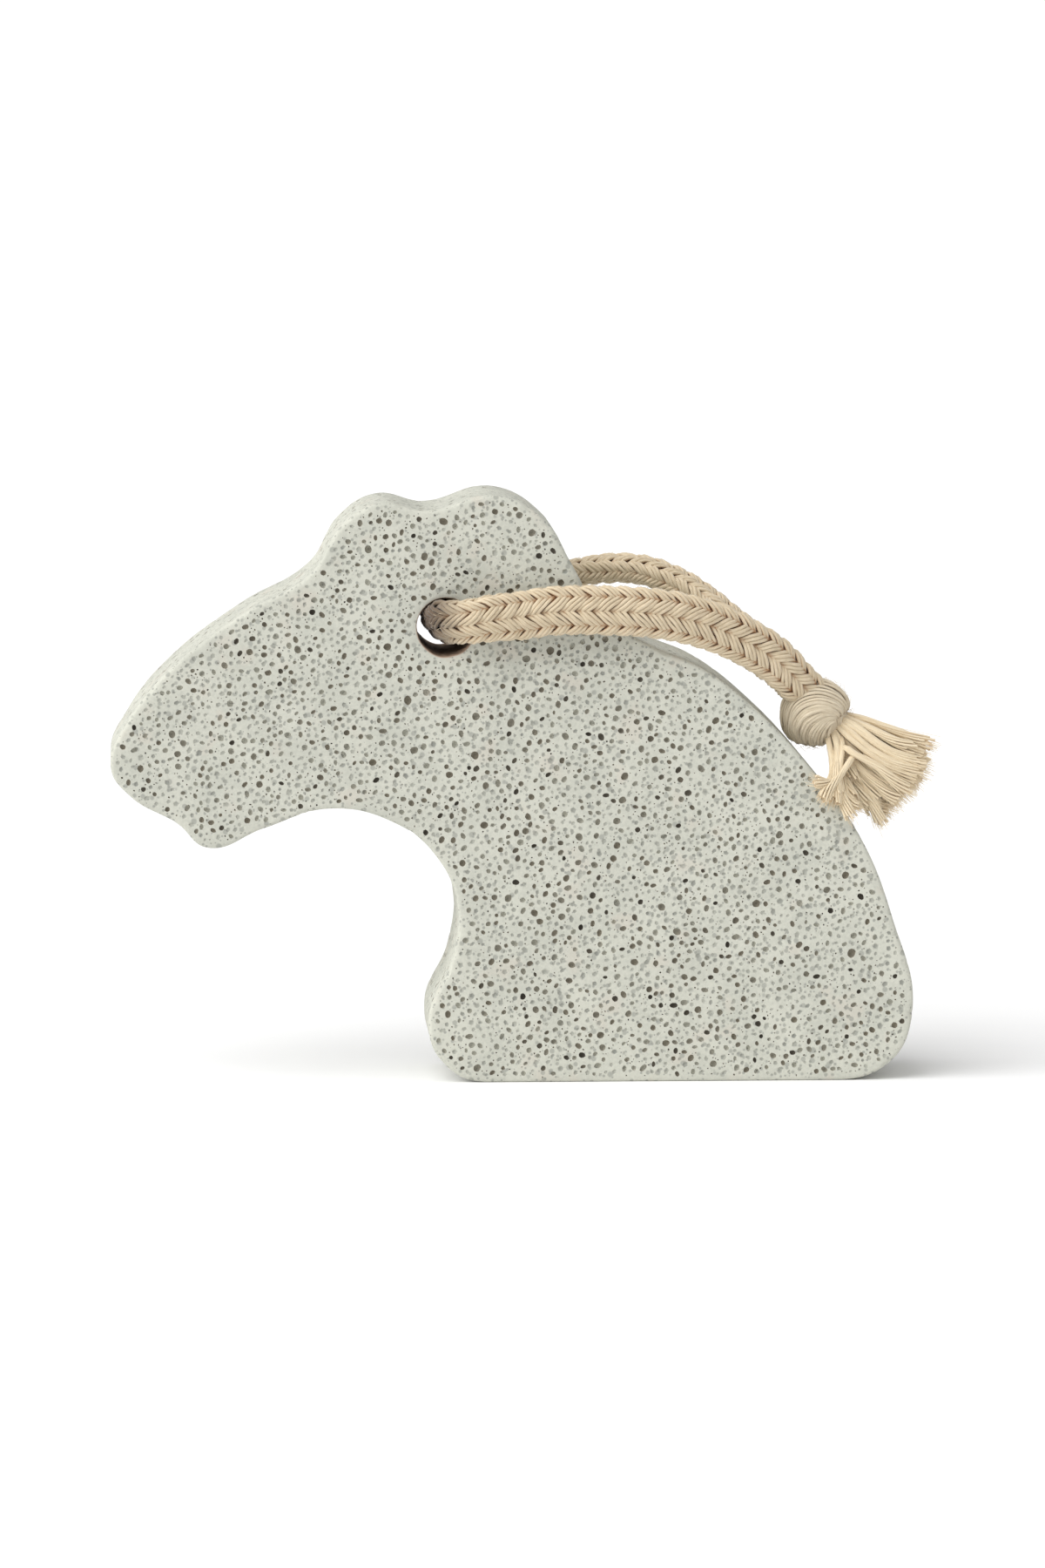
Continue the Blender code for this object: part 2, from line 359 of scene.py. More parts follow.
class SharedEffects:
    """Node groups that several finishes use, each built once."""

    CONTRAST = (0.36, 0.64)
    ROUGHNESS = 0.6
    STREAK_STRETCH = (0.55, 3.2, 3.2)
    FINE_STREAKS = 2.7

    def __init__(self) -> None:
        """Builds the groups."""
        self.mottle = self.build_mottle()
        self.yarn = self.build_yarn()

    def mottled(self, wiring: Wiring, place: Socket, patches: float, grain: float) -> Node:
        """The mottle in a material, with so many patches and grains to a millimetre."""
        return wiring.group(self.mottle, Place=place, Patches_per_mm=patches, Grain_per_mm=grain)

    def build_mottle(self) -> Tree:
        """Soft patches broken up by a finer grain.

        Returns:
            A group that turns a place in millimetres into a mottle from 0 to 1 and a height.
        """
        wiring, given, result = new_group(
            "mottle",
            {"Place": "NodeSocketVector", "Patches per mm": VALUE_SOCKET, "Grain per mm": VALUE_SOCKET},
            ("Mottle", "Height"),
        )
        place = given.outputs["Place"]
        patches = wiring.noise(place, given.outputs["Patches per mm"], detail=3.0)
        grain = wiring.noise(place, given.outputs["Grain per mm"], detail=3.0, roughness=self.ROUGHNESS)
        halved = wiring.math("MULTIPLY", wiring.math("ADD", patches, grain), 0.5)
        wiring.feed(result.inputs["Mottle"], wiring.ramp(halved, *self.CONTRAST))
        wiring.feed(result.inputs["Height"], grain)
        return wiring.tree

    def build_yarn(self) -> Tree:
        """Loose fibres that lie along a thread.

        Returns:
            A group that turns a thread's own coordinates into streaks from 0 to 1 and a height.
        """
        wiring, given, result = new_group("yarn", {"Lay": "NodeSocketVector"}, ("Streak", "Height"))
        stretched = wiring.vector_math("MULTIPLY", given.outputs["Lay"], self.STREAK_STRETCH)
        coarse = wiring.noise(stretched, 1.0, roughness=self.ROUGHNESS)
        fine = wiring.noise(stretched, self.FINE_STREAKS, roughness=self.ROUGHNESS)
        both = wiring.math("MULTIPLY", wiring.math("ADD", coarse, fine), 0.5)
        wiring.feed(result.inputs["Streak"], wiring.ramp(both, *self.CONTRAST))
        wiring.feed(result.inputs["Height"], both)
        return wiring.tree


def new_material(name: str, rough: float) -> tuple[Material, Wiring, Node]:
    """A material with one Principled shader.

    Args:
        name: the finish's name.
        rough: the shader's roughness.

    Returns:
        The material, its wiring and its shader.
    """
    material = bpy.data.materials.new(name)
    material.use_nodes = True
    shader = material.node_tree.nodes["Principled BSDF"]
    shader.inputs["Roughness"].default_value = rough
    return material, Wiring(material.node_tree), shader


@dataclass(frozen=True)
class Spots:
    """A layer of round spots of many sizes, scattered at random.

    Args:
        per_mm: cells to a millimetre, each with one spot at most.
        size: the largest spot's radius in millimetres.
        present: the share of cells that have one.
        strength: how much of their colour shows.
    """

    per_mm: float
    size: float
    present: float
    strength: float

    SMALLEST = 0.25
    SOLID = 0.55

    def mask(self, wiring: Wiring, place: Socket) -> Socket:
        """The layer as a mask.

        Args:
            wiring: the material's wiring.
            place: the place in millimetres.

        Returns:
            A value that is 1 inside the spots.
        """
        cells = wiring.cells(place, self.per_mm)
        parts = wiring.node("ShaderNodeSeparateColor", {0: cells.outputs["Color"]})
        grown = wiring.math("ADD", parts.outputs[0], self.SMALLEST)
        reach = wiring.math("MULTIPLY", grown, self.size * self.per_mm / (1.0 + self.SMALLEST))
        inner = wiring.math("MULTIPLY", reach, self.SOLID)
        spot = wiring.ramp(cells.outputs["Distance"], inner, reach, 1.0, 0.0)
        shown = wiring.math("LESS_THAN", parts.outputs[1], self.present)
        return wiring.math("MULTIPLY", spot, shown)


@dataclass(frozen=True)
class PumiceFinish:
    """Sawn pumice: pale glass foam, with painted shade in its open bubbles, in faint shallow ones and in
    specks that stand for tiny holes.
    """

    pale: Colour = (0.58, 0.58, 0.505)
    dull: Colour = (0.50, 0.505, 0.44)
    warm: Colour = (0.57, 0.53, 0.455)
    # painted shade of the shallow dishes and of the faint painted bubbles
    hollow_shade: Colour = (0.275, 0.28, 0.25)
    # pit and deep: painted shade inside the open pits and pinholes, light and dark
    pit: Colour = (0.285, 0.258, 0.20)
    deep: Colour = (0.05, 0.043, 0.033)
    # painted shade of tiny holes, as dark specks
    pinhole_shade: Colour = (0.15, 0.14, 0.115)
    # painted shade of the hole's wall, browned as by light reflected off the cord
    bore: Colour = (0.42, 0.30, 0.22)
    # painted bubbles, shaded as hollows, and specks painted as the shade of tiny holes
    bubbles: Spots = Spots(0.80, 0.58, 0.95, 0.62)
    small_bubbles: Spots = Spots(1.35, 0.32, 0.90, 0.75)
    specks: Spots = Spots(2.3, 0.13, 0.45, 0.80)
    patches_per_mm: float = 0.16
    grain_per_mm: float = 2.6
    warm_per_mm: float = 0.23
    warm_span: Point2 = (0.60, 0.75)
    warm_most: float = 0.5
    grain_height: float = 0.9
    bump: float = 0.55
    relief: float = 0.06
    rough: float = 0.92

    def material(self, effects: SharedEffects) -> Material:
        """Wires the finish.

        Args:
            effects: the shared groups.

        Returns:
            The stone's material.
        """
        material, wiring, shader = new_material("pumice", self.rough)
        place = wiring.place_mm()
        mottle = effects.mottled(wiring, place, self.patches_per_mm, self.grain_per_mm)
        colour = wiring.mix(mottle.outputs["Mottle"], self.dull, self.pale)
        warm = wiring.noise(place, self.warm_per_mm, detail=1.0)
        colour = wiring.mix(wiring.ramp(warm, *self.warm_span, 0.0, self.warm_most), colour, self.warm)
        masks = []
        # painted shade of faint bubbles and of tiny holes
        for layer, tint in (
            (self.bubbles, self.hollow_shade), (self.small_bubbles, self.hollow_shade), (self.specks, self.pinhole_shade)
        ):
            masks.append(layer.mask(wiring, place))
            colour = wiring.mix(wiring.math("MULTIPLY", masks[-1], layer.strength), colour, tint)
        # painted soft shade in the shallow dishes
        colour = wiring.mix(wiring.attribute("dish"), colour, self.hollow_shade)
        # painted shade inside the open pits and pinholes, darkest in the deepest
        pore = wiring.attribute("pore")
        colour = wiring.mix(wiring.ramp(pore, 0.0, 0.5), colour, self.pit)
        colour = wiring.mix(wiring.ramp(pore, 0.5, 1.0), colour, self.deep)
        # painted shade on the hole's wall, strongest low on the wall
        colour = wiring.mix(wiring.attribute("bore"), colour, self.bore)
        wiring.feed(shader.inputs["Base Color"], colour)
        grain = wiring.math("MULTIPLY", mottle.outputs["Height"], self.grain_height)
        height = wiring.math("SUBTRACT", grain, masks[0])
        wiring.feed(shader.inputs["Normal"], wiring.bump(height, self.bump, self.relief))
        return material


@dataclass(frozen=True)
class CottonFinish:
    """Undyed cotton thread, with painted shade, darker and redder, where it dives between its neighbours and
    on its inward sides, and a painted dark shade where the cord lies inside the stone's hole.
    """

    name: str
    pale: Colour = (0.725, 0.61, 0.44)
    mid: Colour = (0.54, 0.44, 0.295)
    # painted reddish-brown shade where threads dive between their neighbours and on their inward sides
    gap: Colour = (0.42, 0.22, 0.10)
    # painted dark shade where the cord lies inside the stone's hole
    grime: Colour = (0.12, 0.08, 0.05)
    gap_shade_from: float = 0.2
    gap_shade_to: float = 1.1
    shaded: float = 0.9
    tone_share: float = 0.5
    faded_share: float = 0.25
    patches_per_mm: float = 0.12
    grain_per_mm: float = 1.1
    sheen: float = 0.25
    sheen_rough: float = 0.5
    bump: float = 0.6
    relief: float = 0.06
    rough: float = 0.9

    def material(self, effects: SharedEffects) -> Material:
        """Wires the finish.

        Args:
            effects: the shared groups.

        Returns:
            The thread's material.
        """
        material, wiring, shader = new_material(self.name, self.rough)
        yarn = wiring.group(effects.yarn, Lay=wiring.attribute("lay", "Vector"))
        colour = wiring.mix(yarn.outputs["Streak"], self.mid, self.pale)
        tone = wiring.math("MULTIPLY", wiring.attribute("tone"), self.tone_share)
        colour = wiring.mix(tone, colour, self.mid)
        place = wiring.place_mm()
        mottle = effects.mottled(wiring, place, self.patches_per_mm, self.grain_per_mm)
        faded = wiring.math("MULTIPLY", mottle.outputs["Mottle"], self.faded_share)
        colour = wiring.mix(faded, colour, self.pale)
        # painted shade where threads dive and on their inward sides, mixed toward the gap colour
        buried = wiring.math("MULTIPLY", wiring.attribute("buried"), self.shaded)
        inset = wiring.math("ADD", wiring.attribute("inset"), buried)
        colour = wiring.mix(wiring.ramp(inset, self.gap_shade_from, self.gap_shade_to), colour, self.gap)
        # painted dark shade on the cord inside the stone's hole
        colour = wiring.mix(wiring.attribute("grime"), colour, self.grime)
        wiring.feed(shader.inputs["Base Color"], colour)
        shader.inputs["Sheen Weight"].default_value = self.sheen
        shader.inputs["Sheen Roughness"].default_value = self.sheen_rough
        wiring.feed(shader.inputs["Normal"], wiring.bump(yarn.outputs["Height"], self.bump, self.relief))
        return material


@dataclass(frozen=True)
class FloorFinish:
    """White studio paper."""

    pale: Colour = (0.95, 0.95, 0.95)
    dull: Colour = (0.94, 0.94, 0.94)
    patches_per_mm: float = 0.002
    grain_per_mm: float = 0.05
    specular: float = 0.2
    rough: float = 0.95

    def material(self, effects: SharedEffects) -> Material:
        """Wires the finish.

        Args:
            effects: the shared groups.

        Returns:
            The floor's material.
        """
        material, wiring, shader = new_material("studio_paper", self.rough)
        shader.inputs["Specular IOR Level"].default_value = self.specular
        place = wiring.place_mm()
        mottle = effects.mottled(wiring, place, self.patches_per_mm, self.grain_per_mm)
        wiring.feed(shader.inputs["Base Color"], wiring.mix(mottle.outputs["Mottle"], self.dull, self.pale))
        return material


@dataclass
class Studio:
    """White paper, two soft lights from the left with daylight all round, and the photograph's camera."""

    azimuth_deg: float = -2.6
    elevation_deg: float = 6.2
    distance: float = 1300.0
    look_at: Point3 = (1.47, -11.0, 46.1)
    frame_height: float = 240.0
    sensor_height: float = 36.0
    floor_half_size: float = 15000.0
    daylight: float = 0.60
    key: float = 2.0
    key_from: Point3 = (-0.50, -0.38, 0.78)
    fill: float = 1.3
    fill_from: Point3 = (-0.92, -0.30, 0.15)
    softness_deg: float = 58.0
    farthest_seen_m: float = 100.0

    def build(self, effects: SharedEffects) -> None:
        """Sets up the camera, the floor and the lights.

        Args:
            effects: the shared groups.
        """
        self.place_camera()
        self.lay_floor(effects)
        self.sun("key", self.key, self.key_from)
        self.sun("fill", self.fill, self.fill_from)
        self.surround()

    def place_camera(self) -> None:
        """Puts the camera where the photograph was taken from."""
        azimuth, elevation = math.radians(self.azimuth_deg), math.radians(self.elevation_deg)
        back = Vector((
            math.sin(azimuth) * math.cos(elevation),
            -math.cos(azimuth) * math.cos(elevation),
            math.sin(elevation),
        ))
        data = bpy.data.cameras.new("camera")
        data.sensor_fit = "VERTICAL"
        data.sensor_height = self.sensor_height
        data.lens = self.sensor_height * self.distance / self.frame_height
        data.clip_end = self.farthest_seen_m
        camera = bpy.data.objects.new("camera", data)
        bpy.context.scene.collection.objects.link(camera)
        camera.location = (Vector(self.look_at) + back * self.distance) * MM
        camera.rotation_euler = back.to_track_quat("Z", "Y").to_euler()
        bpy.context.scene.camera = camera

    def lay_floor(self, effects: SharedEffects) -> None:
        """Lays the paper under the stone.

        Args:
            effects: the shared groups.
        """
        bpy.ops.object.select_all(action="DESELECT")
        bpy.ops.mesh.primitive_plane_add(size=2 * self.floor_half_size * MM)
        floor = bpy.context.object
        floor.name = "floor"
        floor.data.materials.append(FloorFinish().material(effects))

    def sun(self, name: str, power: float, shines_from: Point3) -> None:
        """Adds one soft light.

        Args:
            name: its name.
            power: its strength.
            shines_from: the direction it comes from.
        """
        data = bpy.data.lights.new(name, "SUN")
        data.energy = power
        data.angle = math.radians(self.softness_deg)
        lamp = bpy.data.objects.new(name, data)
        bpy.context.scene.collection.objects.link(lamp)
        lamp.rotation_euler = Vector(shines_from).to_track_quat("Z", "Y").to_euler()

    def surround(self) -> None:
        """Lights the room evenly and shows colours as they are."""
        world = bpy.data.worlds.new("daylight")
        world.use_nodes = True
        background = world.node_tree.nodes["Background"]
        background.inputs["Color"].default_value = (1.0, 1.0, 1.0, 1.0)
        background.inputs["Strength"].default_value = self.daylight
        bpy.context.scene.world = world
        bpy.context.scene.view_settings.view_transform = "Standard"


OUTLINE = (
    # flat base, from its left end
    (-3.2, 0.0), (47.8, 0.0),
    # back of the neck
    (57.8, 2.5), (61.5, 10.0), (58.3, 25.5), (53.2, 38.0), (46.1, 47.8), (37.2, 57.4), (28.9, 63.8),
    (20.8, 67.4), (13.6, 72.4), (8.9, 80.0),
    # ears
    (5.2, 86.2), (-2.4, 90.3), (-13.1, 88.0), (-20.4, 89.2), (-26.1, 85.8),
    # forehead and nose
    (-30.6, 78.7), (-41.1, 72.4), (-52.0, 64.2), (-58.7, 56.1), (-61.5, 48.9), (-58.6, 44.5), (-51.2, 40.1),
    # chin, throat and chest
    (-46.9, 36.5), (-38.2, 39.4), (-28.0, 42.4), (-18.2, 40.2), (-11.9, 35.2), (-8.5, 27.5), (-9.3, 19.0),
    (-12.9, 9.8), (-10.9, 3.3),
)


class Outline:
    """The slab's front outline as a closed line of evenly spaced points, seen from the front.

    Attributes:
        coarse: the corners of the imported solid, in x and z.
        points: evenly spaced points in x and z, anticlockwise.
        outward: the direction out of the stone at each point.
        spacing: the distance between points.
    """

    BASE_HANDLE = 4.0
    SOLID_STEPS = 4
    FINE_STEPS = 24

    def __init__(self, wanted_spacing: float) -> None:
        """Draws the outline.

        Args:
            wanted_spacing: about how far apart its points are.
        """
        curve = bpy.data.curves.new("outline", "CURVE")
        spline = self.spline(curve)
        self.coarse = self.drawn(spline, self.SOLID_STEPS)
        fine = self.drawn(spline, self.FINE_STEPS)
        bpy.data.curves.remove(curve)
        closed = np.vstack([fine, fine[:1]])
        arc = np.concatenate([[0.0], np.cumsum(np.linalg.norm(np.diff(closed, axis=0), axis=1))])
        count = round(arc[-1] / wanted_spacing)
        self.spacing = arc[-1] / count
        wanted = np.arange(count) * self.spacing
        self.points = np.column_stack([np.interp(wanted, arc, closed[:, axis]) for axis in (0, 1)])
        along = unit(np.roll(self.points, -1, axis=0) - np.roll(self.points, 1, axis=0))
        self.outward = np.column_stack([along[:, 1], -along[:, 0]])

    def spline(self, curve: bpy.types.Curve) -> bpy.types.Spline:
        """The outline's curve, with level handles at both ends of the flat base.

        Args:
            curve: an empty curve.

        Returns:
            The curve's closed spline.
        """
        spline = curve.splines.new("BEZIER")
        spline.bezier_points.add(len(OUTLINE) - 1)
        spline.use_cyclic_u = True
        for point, (x, z) in zip(spline.bezier_points, OUTLINE):
            point.co = (x, z, 0.0)
            point.handle_left_type = "AUTO"
            point.handle_right_type = "AUTO"
        reach = Vector((self.BASE_HANDLE, 0.0, 0.0))
        for point in spline.bezier_points[:2]:
            point.handle_left_type = "FREE"
            point.handle_right_type = "FREE"
            point.handle_left = point.co - reach
            point.handle_right = point.co + reach
        return spline

    def drawn(self, spline: bpy.types.Spline, steps: int) -> Array:
        """The curve as it is drawn.

        Args:
            spline: the curve.
            steps: how many steps it has between two of its own points.

        Returns:
            Points in x and z.
        """
        knots = list(spline.bezier_points)
        drawn = []
        for start, end in zip(knots, knots[1:] + knots[:1]):
            stretch = interpolate_bezier(start.co, start.handle_right, end.handle_left, end.co, steps + 1)
            drawn += [(point.x, point.y) for point in stretch[:-1]]
        return np.array(drawn)

    def length(self) -> float:
        """The way round the outline."""
        return len(self.points) * self.spacing

    def at(self, arc: Array) -> tuple[Array, Array]:
        """Places and outward directions at distances along the outline from its first point.

        Args:
            arc: the distances.

        Returns:
            Points in x and z, and their outward directions.
        """
        step = arc / self.spacing
        low = np.floor(step).astype(int)
        share = (step - low)[:, None]
        first, second = low % len(self.points), (low + 1) % len(self.points)
        place = self.points[first] * (1 - share) + self.points[second] * share
        outward = unit(self.outward[first] * (1 - share) + self.outward[second] * share)
        return place, outward

    def room(self, places: Array) -> Array:
        """How far each place is inside the outline, negative outside it.

        Args:
            places: points in x and z.

        Returns:
            The distances to the outline.
        """
        start = self.coarse
        along = np.roll(start, -1, axis=0) - start
        gap = places[:, None, :] - start[None]
        share = np.clip((gap * along).sum(2) / (along**2).sum(1), 0.0, 1.0)
        distance = np.linalg.norm(gap - share[..., None] * along, axis=2).min(1)
        return np.where(inside(start, places), distance, -distance)


@dataclass(frozen=True)
class PitRecipe:
    """What pits of one kind are like.

    Args:
        kind: the kind.
        per_mm2: how many there are to a square millimetre.
        radius: smallest, usual and largest radius.
        rim_sides: corners of the rim.
        floor_sides: corners of the ring below it, or 0 for none.
        floor_share: the ring's radius where the patch is cut, as a share of the rim's.
        belly: the ring's final radius, as a share of the rim's.
        ring_depth: the ring's depth, as a share of the radius.
        depth: the depth of the middle, as a share of the radius.
        has_middle: whether there is a point in the middle of the floor.
        tone: span of the painted shade inside.
        wobble: how uneven the rim is, as a share of the radius.
        stretch: the longest pits' length, as a share of their usual one.
    """

    kind: PitKind
    per_mm2: float
    radius: tuple[float, float, float]
    rim_sides: int
    floor_sides: int
    floor_share: float
    belly: float
    ring_depth: float
    depth: float
    has_middle: bool
    tone: tuple[float, float]
    wobble: float = 0.10
    stretch: float = 1.25


OPEN = PitRecipe(PitKind.OPEN, 0.22, (0.27, 0.39, 0.56), 8, 5, 0.60, 0.92, 0.8, 1.2, True, (0.15, 0.9))
DISH = PitRecipe(PitKind.DISH, 0.60, (0.26, 0.42, 0.64), 5, 4, 0.64, 0.64, 0.32, 0.32, False, (0.45, 1.0))
PINHOLE = PitRecipe(PitKind.PINHOLE, 0.25, (0.08, 0.12, 0.20), 4, 0, 0.0, 0.0, 0.0, 2.2, True, (0.4, 1.0))
BIG = PitRecipe(
    PitKind.OPEN, 0.008, (0.42, 0.50, 0.66), 10, 6, 0.66, 0.95, 0.9, 1.3, True, (0.3, 0.6),
    wobble=0.09, stretch=1.12,
)

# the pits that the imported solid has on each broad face
SOLID_FACE_PITS = 106
SOLID_PIT_RADIUS = (0.55, 0.95)
SOLID_USUAL_RADIUS = 0.68
SOLID_EDGE_MARGIN = 0.9
SOLID_PIT_SPACING = 0.5
SOLID_TO_SCENE = 0.72


@dataclass
class Pit:
    """One pit on a flat patch."""

    x: float
    y: float
    radius: float
    recipe: PitRecipe
    stretch: float
    turn: float
    tone: float

    def reach(self) -> float:
        """The radius of a circle that holds the pit."""
        return self.radius * self.stretch * (1.0 + self.recipe.wobble)

    def ring(self, sides: int, share: float, phase: float, wobbles: Sequence[float]) -> list[Point2]:
        """Corners of a loop round the pit's middle.

        Args:
            sides: the number of corners.
            share: the loop's size as a share of the rim's.
            phase: where the first corner is, in radians.
            wobbles: how far out of round each corner is, as a share of the radius.

        Returns:
            The corners on the flat patch.
        """
        cos_turn, sin_turn = math.cos(self.turn), math.sin(self.turn)
        corners = []
        for index in range(sides):
            angle = phase + math.tau * index / sides
            size = self.radius * share * (1.0 + wobbles[index])
            long, short = size * math.cos(angle) * self.stretch, size * math.sin(angle) / self.stretch
            x, y = self.x + long * cos_turn - short * sin_turn, self.y + long * sin_turn + short * cos_turn
            corners.append((x, y))
        return corners


class Scatter:
    """Spreads pits over a flat patch so that none touches another or the patch's edge."""

    CELL = 1.8
    TRIES = 30
    CHUNK = 4000
    DARK_ONES = 2.6

    def __init__(self, room: Measure, low: Point2, high: Point2, seed: int) -> None:
        """Starts with an empty patch.

        Args:
            room: gives the distance from each of some places to the patch's edge.
            low: the patch's lowest corner.
            high: its highest corner.
            seed: the random draw's seed.
        """
        self.room = room
        self.low, self.high = low, high
        self.draw = random.Random(seed)
        self.cells: dict[tuple[int, int], list[Pit]] = {}
        self.pits: list[Pit] = []

    def near(self, x: float, y: float) -> Iterable[Pit]:
        """The pits round a place.

        Args:
            x: the place's first coordinate.
            y: its second one.

        Yields:
            Each pit in the nine cells round it.
        """
        column, row = int(x // self.CELL), int(y // self.CELL)
        for i in (column - 1, column, column + 1):
            for j in (row - 1, row, row + 1):
                yield from self.cells.get((i, j), ())

    def clear(self, x: float, y: float, reach: float) -> bool:
        """Whether a circle touches no pit."""
        near = self.near(x, y)
        return all((x - pit.x) ** 2 + (y - pit.y) ** 2 > (reach + pit.reach()) ** 2 for pit in near)

    def add(self, pit: Pit) -> None:
        """Takes the pit in."""
        self.pits.append(pit)
        self.cells.setdefault((int(pit.x // self.CELL), int(pit.y // self.CELL)), []).append(pit)

    def new_pit(self, x: float, y: float, radius: float, recipe: PitRecipe) -> Pit:
        """A pit of a random form.

        Args:
            x: its place's first coordinate.
            y: the second one.
            radius: its usual radius.
            recipe: its kind.

        Returns:
            The pit.
        """
        stretch, turn = self.draw.uniform(1.0, recipe.stretch), self.draw.uniform(0.0, math.pi)
        low, high = recipe.tone
        tone = low + (high - low) * self.draw.random() ** self.DARK_ONES
        return Pit(x, y, radius, recipe, stretch, turn, tone)

    def fill(self, recipe: PitRecipe, count: int, gap: float, edge_gap: float) -> None:
        """Adds pits of one kind.

        Args:
            recipe: the kind.
            count: how many are wanted.
            gap: the least wall between pits.
            edge_gap: the least wall between a pit and the edge.
        """
        places = np.array([
            [self.draw.uniform(self.low[0], self.high[0]), self.draw.uniform(self.low[1], self.high[1])]
            for _ in range(count * self.TRIES)
        ])
        parts = np.array_split(places, 1 + len(places) // self.CHUNK)
        room = np.concatenate([self.room(part) for part in parts])
        low, usual, high = recipe.radius
        added = 0
        for (x, y), free in zip(places.tolist(), room.tolist()):
            if added == count:
                break
            pit = self.new_pit(x, y, self.draw.triangular(low, high, usual), recipe)
            if free > pit.reach() + edge_gap and self.clear(x, y, pit.reach() + gap):
                self.add(pit)
                added += 1


class PittedSheet:
    """A flat patch cut into triangles round its pits, before it is laid on the stone."""

    MERGE = 1e-7
    ONLY_INSIDE = 1

    def __init__(self, seed: int) -> None:
        """Starts an empty sheet.

        Args:
            seed: the seed of the rims' unevenness.
        """
        self.draw = random.Random(seed)
        self.flat: list[Point2] = []
        self.final: list[Point2] = []
        self.depth: list[float] = []
        self.owner: list[int] = []
        self.dish: list[float] = []
        self.edges: list[tuple[int, int]] = []
        self.pit_shade_of: list[float] = []
        self.border = 0

    def add_points(
        self,
        flat: Sequence[Point2],
        final: Sequence[Point2] | None = None,
        depth: float = 0.0,
        owner: int = -1,
        dish: float = 0.0,
        loop: bool = False,
    ) -> None:
        """Adds points.

        Args:
            flat: where they are while the sheet is cut.
            final: where they end up, or None for the same places.
            depth: how deep they end up.
            owner: the pit whose inside they belong to, or -1.
            dish: the soft shade painted on them.
            loop: whether they are corners of a closed line that the triangles keep.
        """
        start = len(self.flat)
        self.flat += flat
        self.final += flat if final is None else final
        self.depth += [depth] * len(flat)
        self.owner += [owner] * len(flat)
        self.dish += [dish] * len(flat)
        if loop:
            numbers = range(start, start + len(flat))
            self.edges += list(zip(numbers, [*numbers[1:], start]))

    def end_border(self) -> None:
        """Takes the lines added so far as the sheet's border."""
        self.border = len(self.flat)

    def add_pit(self, pit: Pit) -> None:
        """Adds the rim, the ring and the middle of a pit.

        Args:
            pit: the pit.
        """
        recipe = pit.recipe
        owner = len(self.pit_shade_of)
        # painted shade: open pits and pinholes get it on their inner faces, dishes a soft one on their inner
        # points
        soft = recipe.kind is PitKind.DISH
        self.pit_shade_of.append(0.0 if soft else pit.tone)
        shade = pit.tone if soft else 0.0
        phase = self.draw.uniform(0.0, math.tau)
        wobbles = [self.draw.uniform(-recipe.wobble, recipe.wobble) for _ in range(recipe.rim_sides)]
        self.add_points(pit.ring(recipe.rim_sides, 1.0, phase, wobbles), loop=True)
        if recipe.floor_sides:
            even = [0.0] * recipe.floor_sides
            cut_ring = pit.ring(recipe.floor_sides, recipe.floor_share, phase, even)
            ring = pit.ring(recipe.floor_sides, recipe.belly, phase, even)
            self.add_points(cut_ring, ring, pit.radius * recipe.ring_depth, owner, shade, loop=True)
        if recipe.has_middle:
            self.add_points([(pit.x, pit.y)], None, pit.radius * recipe.depth, owner, shade)

    def cut(self, keep: Measure) -> tuple[Array, ...]:
        """Cuts the sheet into triangles.

        Args:
            keep: tells for some places on the sheet which of them belong to the stone; it is asked for the
                middles of the triangles between the lines of the border.

        Returns:
            The points' final places, depths and soft painted shades, the triangles, and the painted shade of
            each.
        """
        corners = [Vector(place) for place in self.flat]
        cut = delaunay_2d_cdt(corners, self.edges, [], self.ONLY_INSIDE, self.MERGE, False)
        if len(cut[0]) != len(corners):
            raise ValueError(f"two of the sheet's lines meet: {len(cut[0])} points of {len(corners)}")
        triangles = np.array(cut[2])
        doubtful = np.flatnonzero((triangles < self.border).all(1))
        outside = doubtful[~keep(np.array(self.flat)[triangles[doubtful]].mean(1))]
        triangles = np.delete(triangles, outside, axis=0)
        pit_shade_of = np.array(self.pit_shade_of + [0.0])
        pore = pit_shade_of[np.array(self.owner)[triangles].max(1)]
        return np.array(self.final), np.array(self.depth), np.array(self.dish), triangles, pore


